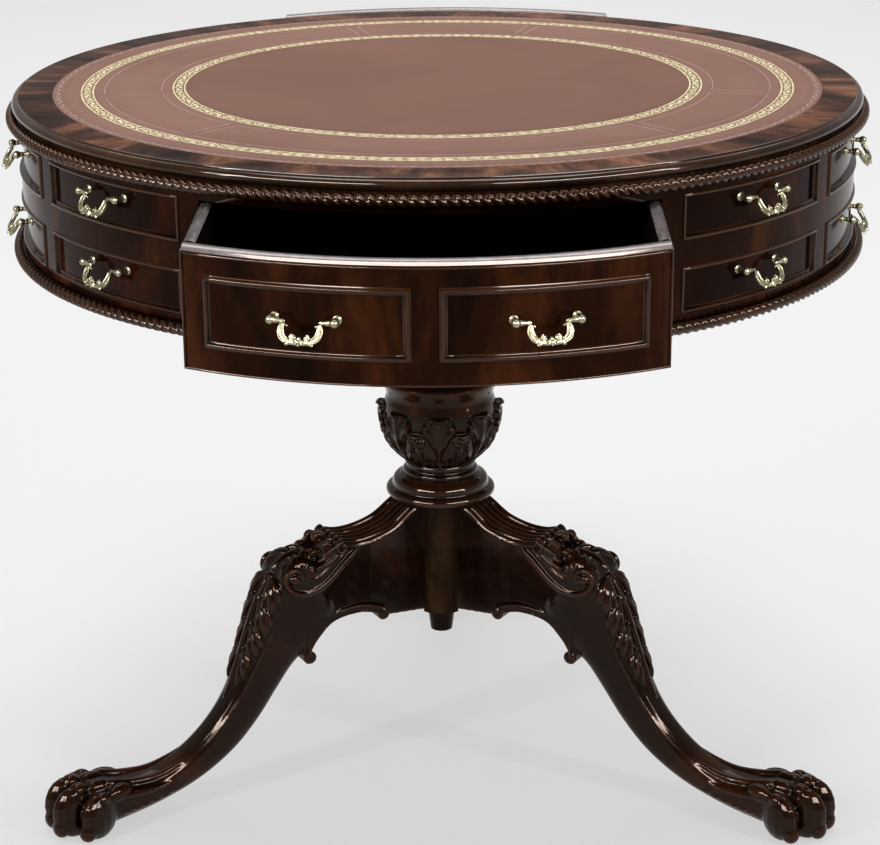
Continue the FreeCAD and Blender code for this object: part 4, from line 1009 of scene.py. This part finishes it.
SMALL_LEAF_HALF = 9.5
LEAF_LOBES = 3.5
LEAF_THICK = 4.2
LEAF_RELIEF = 2.6  # rise of the veins over the hollows of a leaf
LEAF_RIB = 2.4  # rise of the middle rib
LEAF_RIM = 1.6  # rise of the edge
RIB_WIDTH = 0.14  # this and the next two are shares of the leaf's half width
RIM_PLACE = 0.82
RIM_WIDTH = 0.12
VEIN_SLANT = 1.2  # waves that a vein crosses from the rib to the edge
LEAF_RISE = [23, 29, 36, 45, 54, 62, 69, 74]  # heights of the leaf on the bulb, over the foot of the column
LEAF_CURL = [(64.2, 78.5), (66.4, 81.2), (69.2, 82.0), (71.0, 79.8)]
SMALL_CURL = [(64.0, 59.0), (66.4, 61.5), (68.6, 61.8), (69.6, 59.4)]
COLUMN_TIERS = [(21, "polished"), (84, "carved"), (300, "turned")]
LEAF_WIDTH = [0.60, 0.80, 0.94, 1.00, 1.00, 0.99, 0.97, 0.92, 0.82, 0.66, 0.40, 0.06]


def bulb_leaf(clay, base, turn, half_angle, rise, curl):
    """One acanthus leaf: a lobed blade up the bulb whose end curls over along (radius, height) points."""
    bulb = smooth_path(BULB_PATH, BULB_POINTS)
    stem = [(np.interp(height, bulb[:, 1], bulb[:, 0]), height) for height in rise]
    path = smooth_path(stem + curl, LEAF_ROWS) + (0, base)
    along = directions(path)
    outward = np.column_stack([along[:, 1], -along[:, 0]])
    share = np.linspace(0, 1, LEAF_ROWS)
    width = along_line(LEAF_ROWS, np.linspace(0, 1, len(LEAF_WIDTH)), LEAF_WIDTH)
    width *= (0.90 + 0.1 * np.abs(np.cos(share * LEAF_LOBES * math.pi))) * math.radians(half_angle)
    across = np.linspace(-1, 1, LEAF_POINTS)
    blade = LEAF_THICK * np.sqrt(1 - across ** 8) + LEAF_RIB * np.exp(-(across / RIB_WIDTH) ** 2)
    blade += LEAF_RIM * np.exp(-((np.abs(across) - RIM_PLACE) / RIM_WIDTH) ** 2)
    back = np.full(LEAF_POINTS, -LEAF_THICK / 2)
    rings = []
    for (radius, height), (out, up), half, step in zip(path, outward, width, share):
        veins = np.cos(2 * math.pi * (LEAF_LOBES * step - VEIN_SLANT * np.abs(across)))
        front = blade + LEAF_RELIEF * np.abs(across) * veins
        places = math.radians(turn) + np.concatenate([across, across[::-1]]) * half
        lifts = np.concatenate([front, back])
        rings.append(on_drum(places, height + up * lifts, radius + out * lifts))
    clay.rings(rings)


def finish_by_height(item, base, tiers):
    """Give each face the finish of the lowest tier whose top, over the base, lies above it."""
    faces = item.data.polygons
    centres = np.empty(len(faces) * 3)
    faces.foreach_get("center", centres)
    item.data.materials.clear()
    for _, name in tiers:
        item.data.materials.append(finish[name])
    tier = np.searchsorted([base + top for top, _ in tiers], centres[2::3] / MM)
    faces.foreach_set("material_index", tier.astype(np.int32))


def column():
    """Turned column with a ring of acanthus leaves on its bulb."""
    low, high = box_mm("pedestal_urn")
    base, tall = low[2], high[2] - low[2]
    head = [(FLARE_PATH[-1][0], tall), (COLUMN_RINGS[0][0], tall)]
    outline = np.vstack([COLUMN_RINGS, smooth_path(BULB_PATH, BULB_POINTS), COLUMN_SHAFT,
                         smooth_path(FLARE_PATH, FLARE_POINTS), head])
    clay = Clay()
    clay.lathe(outline + (0, base), COLUMN_SIDES)
    for leaf in range(LEAVES):
        turn = FRONT + leaf * 360 / LEAVES
        bulb_leaf(clay, base, turn, LEAF_HALF, LEAF_RISE, LEAF_CURL)
        bulb_leaf(clay, base, turn + 180 / LEAVES, SMALL_LEAF_HALF, LEAF_RISE[:5], SMALL_CURL)
    mesh = fused("column_carved", clay, COLUMN_VOXEL, depth_scale=COLUMN_HOLLOW)
    item = new_object("column_carved", mesh, finish["polished"])
    finish_by_height(item, base, COLUMN_TIERS)
    dress(item, "desk", "mahogany", "pedestal_urn")


def collar():
    """Stepped collar that caps the legs."""
    low, high = box_mm("pedestal_collar")
    tall = high[2] - low[2]
    outline = np.array([*COLLAR_RINGS, (COLLAR_TOP, tall), (COLLAR_RINGS[0][0], tall)])
    clay = Clay()
    clay.lathe(outline + (0, low[2]), COLLAR_SIDES)
    piece(clay, "collar_turned", finish["polished"], "desk", "mahogany", "pedestal_collar",
          hollow=HOLLOW_DEPTH)


# Legs: reach from the column along X, Y across the leg, Z up

LEG_VOXEL = 1.15
# Reach, height, slope of the line in degrees, half depth, half width, squareness of the section
LIMB_STATIONS = [
    (150, 240, -30, 34, 14, 2.4), (168, 229, -33, 43, 28.5, 3.6), (187, 216, -36, 44, 29.5, 4.0),
    (205, 190, -38, 41, 28, 3.6), (221, 164, -44, 33, 25.5, 3.2), (237, 134, -49, 27.5, 23, 3.0),
    (258, 99, -51, 23.5, 21, 2.9), (285, 69, -46, 21.5, 20, 2.8), (320, 45, -31, 19, 20, 2.6),
    (360, 30, -13, 17.5, 22, 2.4), (398, 26, -2, 21, 27, 2.3), (430, 27, 0, 26, 31, 2.2),
    (452, 26, 0, 24, 28, 2.0),
]
LIMB_ROWS = 90
LIMB_STEP = 6  # degrees between points round the limb
CAP_PATH = [(44, 306), (55, 299), (76, 285), (100, 278), (122, 277), (138, 281)]
CAP_HALF = (27, 31)  # half width at the collar and at the knee
CAP_THICK = 9
CAP_ROWS = 34
CAP_UNDERSIDE = (0.8, 0.4, 0.0, -0.4, -0.8)  # points across, as shares of the half width
REED_POINTS = 18
CAP_ROLL = (139, 273.5)  # middle of the rolls that end the reeds
REEDS = 6
REED_RISE = 4.4
REED_SHARE = 0.78  # of its strip that a reed fills
ARCH_PATH = [(184, 150), (176, 165), (163, 179), (146, 188.5), (120, 191), (101, 187), (88, 181)]
WEB_TAPER = [24, 60, 100, 132, 166]  # reach at which the web thickens
WEB_HALVES = [10.5, 13.5, 17.0, 21.5, 28.3]
WEB_ENDS = (24, 184)
WEB_ROWS = 60
WEB_COVER = 4  # depth of the web under the cap
WEB_BACK = [(160, 262), (178, 240), (186, 222)]  # upper edge of the web inside the knee
WEB_FRONT = [(24, 169), (78, 175)]  # lower edge beside the post
ARCH_HALF = 25.0
ARCH_BAND = 4.6
VOLUTES = [((181, 149), 7.6), ((88, 182), 7.0)]
KNEE_MIDDLE = (190, 243)
KNEE_SIDES = 40
# Side and radius of the knee's round body
KNEE_SHAPE = [(-28.5, 18.0), (-27.0, 22.5), (-23.0, 24.5), (23.0, 24.5), (27.0, 22.5), (28.5, 18.0)]
SCROLL_BAND = [(114, 269), (128, 260), (142, 249), (155, 239), (170, 231.5), (186, 229), (199, 232.5),
               (207.5, 240), (210.5, 249), (207, 257), (199, 259.5), (192, 255.5), (191, 248.5), (195.5, 244)]
SCROLL_FACE = [22.0, 26.5, 30.0, 31.0]  # how far the band stands out along its length
SCROLL_EYE = (200, 30.0, 249)
SCROLL_LINES = [[(134, 265), (147, 254.5), (160, 245), (173, 239), (185, 237.5), (195, 240.5)],
                [(119, 262), (132, 253), (146, 243), (159, 234), (173, 227.5), (186, 226)],
                [(140, 266), (152, 256), (164, 248), (175, 244)]]
SCROLL_POINTS = 80
LINE_POINTS = 30
FROND_POINTS = 20
BUTTON = (178.5, 255)  # small spiral beside the scroll
BUTTON_FACE = 29.0  # how far it stands out
FRONDS = [[(170, 263), (160, 266), (149, 269.5), (139, 272)],
          [(169, 255), (157, 258.5), (146, 264), (137, 269)],
          [(163, 269), (156, 272), (148, 275), (141, 277)]]
CREST = [(146, 262), (147.5, 275), (152, 283), (158.5, 284), (161.5, 279), (158.5, 275.5)]
CREST_TIPS = [(-19, 5, 6.0), (0, 0, 7.0), (19, 5, 6.0)]  # side, drop and half width
EAR = (171, 266)  # rolled leaf on the shoulder of the knee
EAR_SIDE = 15.5
# Leaves down the outer ridge: start and end as shares along the limb, spread in degrees, lobes, radius
KNEE_LEAF = (0.02, 0.19, 54, 3, 4.8)
SHIN_LEAF = (0.175, 0.50, 62, 4, 5.2)
# Raised lines of the shin: stops (share along the limb, degrees round it, lift), radii and points
SHIN_LINES = [
    ([(0.26, 76, -0.6), (0.40, 62, -0.2), (0.56, 52, -0.4), (0.72, 44, -0.8)], [1.0, 2.0, 1.9, 1.2], 36),
    ([(0.66, 36, -1.4), (0.74, 30, 0.4), (0.83, 24, 1.4), (0.90, 22, 1.8)], [2.0, 4.2, 5.2, 5.6], 24),
    ([(0.72, 78, -1.6), (0.80, 66, 0.0), (0.88, 58, 0.8)], [2.0, 4.2, 5.4], 20),
]
FUR_CUTS = [0.715 + cut * 0.024 for cut in range(6)]  # shares along the limb where tufts of fur start
# Toes, knuckles and pads of one half of the paw: reach, side, height, radii and turn outwards in degrees
PAW_FORMS = [
    (461, 12.5, 27, (25.5, 13.8, 30), 0), (440, 30, 24, (25, 13.0, 26.5), 24),
    (434, 10, 47, (18, 10.0, 10.5), 0), (456, 11.5, 51, (10, 9.6, 8.0), 0),
    (414, 23, 42, (18, 9.0, 10), 16), (436, 31, 44, (10, 8.6, 7.4), 24),
    (477, 12.0, 12, (10.0, 10.5, 12.0), 0), (456, 36, 11, (10.0, 10.0, 11.0), 24),
]
LEG_TURNS = {"leg_left": 210, "leg_right": 330, "leg_rear": 90}
LINE_FLAT = 0.75  # thickness of a raised line, as a share of its width


class Limb:
    """The cabriole limb as a surface: along it from 0 to 1, round it in degrees from the outer ridge."""

    def __init__(self):
        self.rows = smooth_path(LIMB_STATIONS, LIMB_ROWS)

    def at(self, along, turn, lift=0.0):
        """A point of the surface, moved out by lift."""
        row = [np.interp(along, np.linspace(0, 1, len(self.rows)), column) for column in self.rows.T]
        reach, height, slope, depth, width, square = row
        cosine, sine = math.cos(math.radians(turn)), math.sin(math.radians(turn))
        out = (depth + lift) * math.copysign(abs(cosine) ** (2 / square), cosine)
        side = (width + lift) * math.copysign(abs(sine) ** (2 / square), sine)
        slope = math.radians(slope)
        return np.array([reach - math.sin(slope) * out, side, height + math.cos(slope) * out])

    def skin(self, clay):
        """The plain limb."""
        clay.rings([[self.at(step, turn) for turn in range(0, 360, LIMB_STEP)]
                    for step in np.linspace(0, 1, LIMB_ROWS)])

    def line(self, clay, stops, radii, count=14, side=1):
        """A raised line over the surface through (along, turn, lift) stops, mirrored where side is -1."""
        stops = np.asarray(stops) * (1, side, 1)
        path = [self.at(*stop) for stop in smooth_path(stops, count)]
        wide = smooth_widths(radii, count)
        clay.tube(path, wide, wide * LINE_FLAT)


# Shares of spread, length and size of the blades in one lobe of a leaf
BLADES = [(1.00, 0.50, 0.85), (0.88, 0.92, 1.00), (0.52, 1.18, 0.88)]


def acanthus(clay, limb, start, end, spread, lobes, radius):
    """A lobed leaf over the limb; its spine runs down the outer ridge from start to end."""
    length = end - start
    spine = [(start, 0, 0.6), (start + 0.4 * length, 0, 2.2), (start + 0.75 * length, 0, 2.0), (end, 0, 0.4)]
    limb.line(clay, spine, [0.7 * radius, 0.9 * radius, 0.7 * radius, 0.25 * radius], 24)
    for lobe in range(lobes):
        share = lobe / lobes
        root = start + length * (0.02 + 0.80 * share)
        reach = length * (0.26 - 0.06 * share)
        width = spread * math.sin(math.pi * (0.34 + 0.56 * share))
        size = radius * (1.0 - 0.35 * share)
        for side in (-1, 1):
            for out, ahead, big in BLADES:
                far, turn = reach * ahead, width * out
                stops = [(root, 0, 0.4), (root + 0.42 * far, 0.58 * turn, 2.3),
                         (root + 0.80 * far, 0.92 * turn, 2.2), (root + far, turn, 0.6)]
                radii = [0.5 * size, big * size, 0.9 * big * size, 0.35 * size]
                limb.line(clay, stops, radii, side=side)


def leg_web(clay):
    """Flat web between the post and the knee, under the reeded cap and over the arch, thinner at the post."""
    cap = smooth_path([(x, z - WEB_COVER) for x, z in CAP_PATH], 24)
    roof = np.array([(WEB_ENDS[0], cap[0][1]), *cap, *WEB_BACK])
    arch = np.array([*WEB_FRONT, *smooth_path(ARCH_PATH, 24)[::-1]])
    rings = []
    for reach in np.linspace(*WEB_ENDS, WEB_ROWS):
        half = np.interp(reach, WEB_TAPER, WEB_HALVES)
        low = np.interp(reach, arch[:, 0], arch[:, 1])
        high = np.interp(reach, roof[:, 0], roof[:, 1])
        rings.append([(reach, -half, low), (reach, half, low), (reach, half, high), (reach, -half, high)])
    clay.rings(rings)


def reeded_cap(clay):
    """The hollow top of the leg: a slab of reeds that end in small rolls."""
    path = smooth_path(CAP_PATH, CAP_ROWS)
    along = directions(path)
    normal = np.column_stack([-along[:, 1], along[:, 0]])
    across = np.linspace(-1, 1, REEDS * REED_POINTS + 1)
    phase = ((across + 1) / 2 * REEDS) % 1
    reed = REED_RISE * (np.sqrt(np.maximum(1 - ((2 * phase - 1) / REED_SHARE) ** 2, 0)) - 1)
    halves = np.linspace(*CAP_HALF, len(path))
    rings = []
    for place, out, half in zip(path, normal, halves):
        top = [(place[0] + out[0] * h, half * a, place[1] + out[1] * h) for a, h in zip(across, reed)]
        low = place - out * CAP_THICK
        bottom = [(low[0], half * a, low[1]) for a in CAP_UNDERSIDE]
        rings.append(top + bottom)
    clay.rings(rings)
    curl = spiral(CAP_ROLL, 7.6, -1.15, 95, 22, 0.2)
    for number in range(REEDS):
        side = CAP_HALF[1] * ((number + 0.5) / REEDS * 2 - 1)
        clay.tube(upright(curl, side), 4.9, np.linspace(2.6, 1.5, 22), sides=12, across=FORWARD)


def knee_mass(clay):
    """Round body of the knee that carries the scrolls."""
    turns = circle(KNEE_SIDES)
    ring = np.column_stack([np.cos(turns), -np.sin(turns)])
    clay.rings([upright(KNEE_MIDDLE + radius * ring, side) for side, radius in KNEE_SHAPE])


def crest(clay, limb):
    """Leaf tips that curl up behind the reeds, and the leaf over the knee."""
    for side, drop, half in CREST_TIPS:
        tip = smooth_path(CREST, 20) - (0, drop)
        clay.tube(upright(tip, side), np.linspace(half, 0.7 * half, 20), np.linspace(3.2, 2.0, 20), sides=14,
                  across=FORWARD)
        for vein in (-0.45, 0.45):
            clay.tube(upright(tip + (0.6, 1.4), side + vein * half), 1.4, sides=8)
    roll = spiral(EAR, 6.6, -1.3, 150, 26, 0.2)
    for side in (-EAR_SIDE, EAR_SIDE):
        clay.tube(upright(roll, side), 5.4, np.linspace(2.6, 1.4, 26), sides=12, across=FORWARD)
    acanthus(clay, limb, *KNEE_LEAF)


def knee_carving(clay):
    """On each side a scroll with an eye, a small spiral, ridges along the band and fronds under the reeds."""
    for side in (-1, 1):
        face = along_line(SCROLL_POINTS, [0, 0.2, 0.45, 1], SCROLL_FACE)
        wide = along_line(SCROLL_POINTS, [0, 0.3, 0.6, 1], [1.3, 3.3, 3.0, 1.8])
        clay.tube(upright(smooth_path(SCROLL_BAND, SCROLL_POINTS), side * face), wide, sides=12)
        clay.ball(np.multiply(SCROLL_EYE, (1, side, 1)), (6.0, 4.6, 6.0))
        button = spiral(BUTTON, 7.2, 1.35, 200, 34, 0.3)
        clay.tube(upright(button, side * BUTTON_FACE), np.linspace(1.9, 1.4, 34))
        clay.ball((BUTTON[0], side * (BUTTON_FACE + 0.5), BUTTON[1]), (3.0, 3.6, 3.0))
        wide = along_line(LINE_POINTS, [0, 0.4, 0.8, 1], [0.8, 1.7, 1.6, 0.8])
        face = along_line(LINE_POINTS, [0, 0.5, 1], [23.0, 27.5, 29.5])
        for line in SCROLL_LINES:
            clay.tube(upright(smooth_path(line, LINE_POINTS), side * face), wide)
        wide = along_line(FROND_POINTS, [0, 0.3, 0.8, 1], [2.0, 3.8, 3.2, 1.0])
        face = along_line(FROND_POINTS, [0, 0.4, 1], [27.0, 25.5, 23.5])
        for frond in FRONDS:
            clay.tube(upright(smooth_path(frond, FROND_POINTS), side * face), wide, wide * 0.8)


def shin_carving(clay, limb):
    """Acanthus leaf down the outer ridge, fillets along the bevel and tendons that run to the knuckles."""
    acanthus(clay, limb, *SHIN_LEAF)
    loop = [(0.215 + 0.026 * math.cos(turn), 40 + 9 * math.sin(turn), 1.0)
            for turn in np.linspace(0, 2 * math.pi, 13)]
    for side in (-1, 1):
        limb.line(clay, loop, np.full(13, 1.7), 40, side)
        for stops, radii, count in SHIN_LINES:
            limb.line(clay, stops, radii, count, side)
        for place in FUR_CUTS:
            tuft = [(place, 118, -0.8), (place + 0.018, 106, 0.7), (place + 0.034, 96, -0.8)]
            limb.line(clay, tuft, [0.7, 1.7, 0.6], 10, side)


def arch_band(clay):
    """Raised band along the arch that ends in two volutes."""
    path = smooth_path(ARCH_PATH, 30)
    inward = directions(path)[:, ::-1] * (1, -1)
    middle = path + inward * (ARCH_BAND - 0.6)
    clay.tube(upright(middle), ARCH_HALF, ARCH_BAND, sides=32, across=FORWARD, square=6.0)
    for side in (-1, 1):
        for edge in (-1, 1):
            bead = middle + inward * edge * (ARCH_BAND - 1.0)
            clay.tube(upright(bead, side * ARCH_HALF), 1.1, sides=8)
        for (x, z), radius in VOLUTES:
            clay.tube([(x, 0, z), (x, side * (ARCH_HALF + 1.0), z)], radius, sides=28)
            curl = spiral((x, z), radius - 1.5, side * 1.6, 90, 36, 0.15)
            clay.tube(upright(curl, side * (ARCH_HALF + 1.2)), np.linspace(1.5, 1.0, 36), sides=8)


def paw(clay):
    """Four tall toes with knuckles and pads."""
    for side in (-1, 1):
        for reach, away, height, radii, splay in PAW_FORMS:
            clay.ball((reach, side * away, height), radii, "Z", side * splay)


def leg_mesh():
    """One carved leg along X."""
    clay = Clay()
    limb = Limb()
    limb.skin(clay)
    leg_web(clay)
    reeded_cap(clay)
    knee_mass(clay)
    crest(clay, limb)
    knee_carving(clay)
    shin_carving(clay, limb)
    arch_band(clay)
    paw(clay)
    return fused("leg_carved", clay, LEG_VOXEL, floor=0.0)


def legs():
    """Three legs of one mesh."""
    mesh = leg_mesh()
    mesh.materials.append(finish["carved"])
    for node, azimuth in LEG_TURNS.items():
        item = linked(node + "_carved", mesh)
        item.matrix_world = Matrix.Rotation(math.radians(azimuth), 4, "Z")
        dress(item, "desk", "mahogany", node)


# Camera, floor and light

CAMERA_DISTANCE = 2.525
CAMERA_HEIGHT = 1.271
CAMERA_AZIMUTH = 1.12  # degrees to the right of the front
CAMERA_PITCH = 19.29  # degrees down
CAMERA_ROLL = -0.45
CAMERA_LENS = 97.4
SENSOR_WIDTH = 36.0
FLOOR_RADIUS = 30.0
FLOOR_SIDES = 96
FLOOR_GLOW = 0.53  # lift of the floor where it is seen, also in reflections
WORLD_LIGHT = 0.30


def camera():
    """The camera that fits the circles and the feet of the desk in the photo."""
    data = bpy.data.cameras.new("camera")
    data.sensor_width = SENSOR_WIDTH
    data.sensor_fit = "HORIZONTAL"
    data.lens = CAMERA_LENS
    data.dof.use_dof = False
    item = linked("camera", data)
    about = Matrix.Rotation(math.radians(CAMERA_AZIMUTH), 4, "Z")
    place = about @ Matrix.Translation((0, -CAMERA_DISTANCE, CAMERA_HEIGHT))
    place = place @ Matrix.Rotation(math.radians(90 - CAMERA_PITCH), 4, "X")
    item.matrix_world = place @ Matrix.Rotation(math.radians(CAMERA_ROLL), 4, "Z")
    bpy.context.scene.camera = item


def studio_floor():
    """Pale seamless floor."""
    clay = Clay()
    clay.add(on_drum(circle(FLOOR_SIDES), 0, FLOOR_RADIUS / MM), [list(range(FLOOR_SIDES))])
    shader = Shader("studio_floor")
    cloud = shader.noise(shader.place(), 0.6, 2.0)
    shader.join(shader.ramp(cloud, (0.3, (0.32, 0.32, 0.32)), (0.7, (0.34, 0.34, 0.34))), "Base Color")
    rays = shader.add("ShaderNodeLightPath").outputs
    reflected = shader.math("ADD", rays["Is Glossy Ray"], rays["Is Transmission Ray"])
    seen = shader.math("ADD", rays["Is Camera Ray"], reflected)
    shader.join(shader.math("MULTIPLY", seen, FLOOR_GLOW), "Emission Strength")
    shader.set(Roughness=0.7, Specular_IOR_Level=0.1, Emission_Color=(1, 1, 1, 1))
    new_object("studio_floor", clay.mesh("studio_floor"), shader.material)


# Name, place, target, size, brightness of its face where 1 is white, and whether it draws reflections alone
LAMPS = [
    ("overhead", (0.0, 1.4, 5.0), (0, 0.9, 0), (3.0, 3.0), 6.2, False),
    ("left_strip", (-2.4, -1.9, 1.9), (0, 0, 0.45), (0.12, 1.6), 40, False),
    ("right_strip", (2.6, -1.5, 1.7), (0, 0, 0.45), (0.12, 1.5), 36, False),
    ("far_panel", (0.0, 5.2, 4.4), (0, 4.6, 0), (5.0, 2.4), 1.6, False),
    ("front_panel_left", (-1.9, -2.5, 2.1), (0, 0, 0.45), (2.6, 0.5), 36, True),
    ("front_panel_right", (1.9, -2.5, 2.1), (0, 0, 0.45), (2.6, 0.5), 36, True),
]


def soft_light(name, place, target, size, brightness, glint):
    """A rectangular lamp."""
    data = bpy.data.lights.new(name, "AREA")
    data.shape = "RECTANGLE"
    data.size, data.size_y = size
    data.energy = brightness * math.pi * size[0] * size[1]
    item = linked(name, data)
    item.location = place
    item.rotation_euler = (Vector(target) - Vector(place)).to_track_quat("-Z", "Y").to_euler()
    item.visible_diffuse = not glint


def light():
    """Soft panels above, strips at the sides, low panels that draw glints on the polish, and the world."""
    for lamp in LAMPS:
        soft_light(*lamp)
    world = bpy.data.worlds.new("studio")
    bpy.context.scene.world = world
    world.use_nodes = True
    background = world.node_tree.nodes["Background"]
    background.inputs["Color"].default_value = (1, 1, 1, 1)
    background.inputs["Strength"].default_value = WORLD_LIGHT


finish_nodes()
table_top()
rope("upper_rope_moulding")
rope("lower_rope_moulding")
drawers()
leather_sheet()
tooling()
pulls()
column()
collar()
legs()
camera()
studio_floor()
light()
bpy.context.scene.view_settings.view_transform = "Standard"
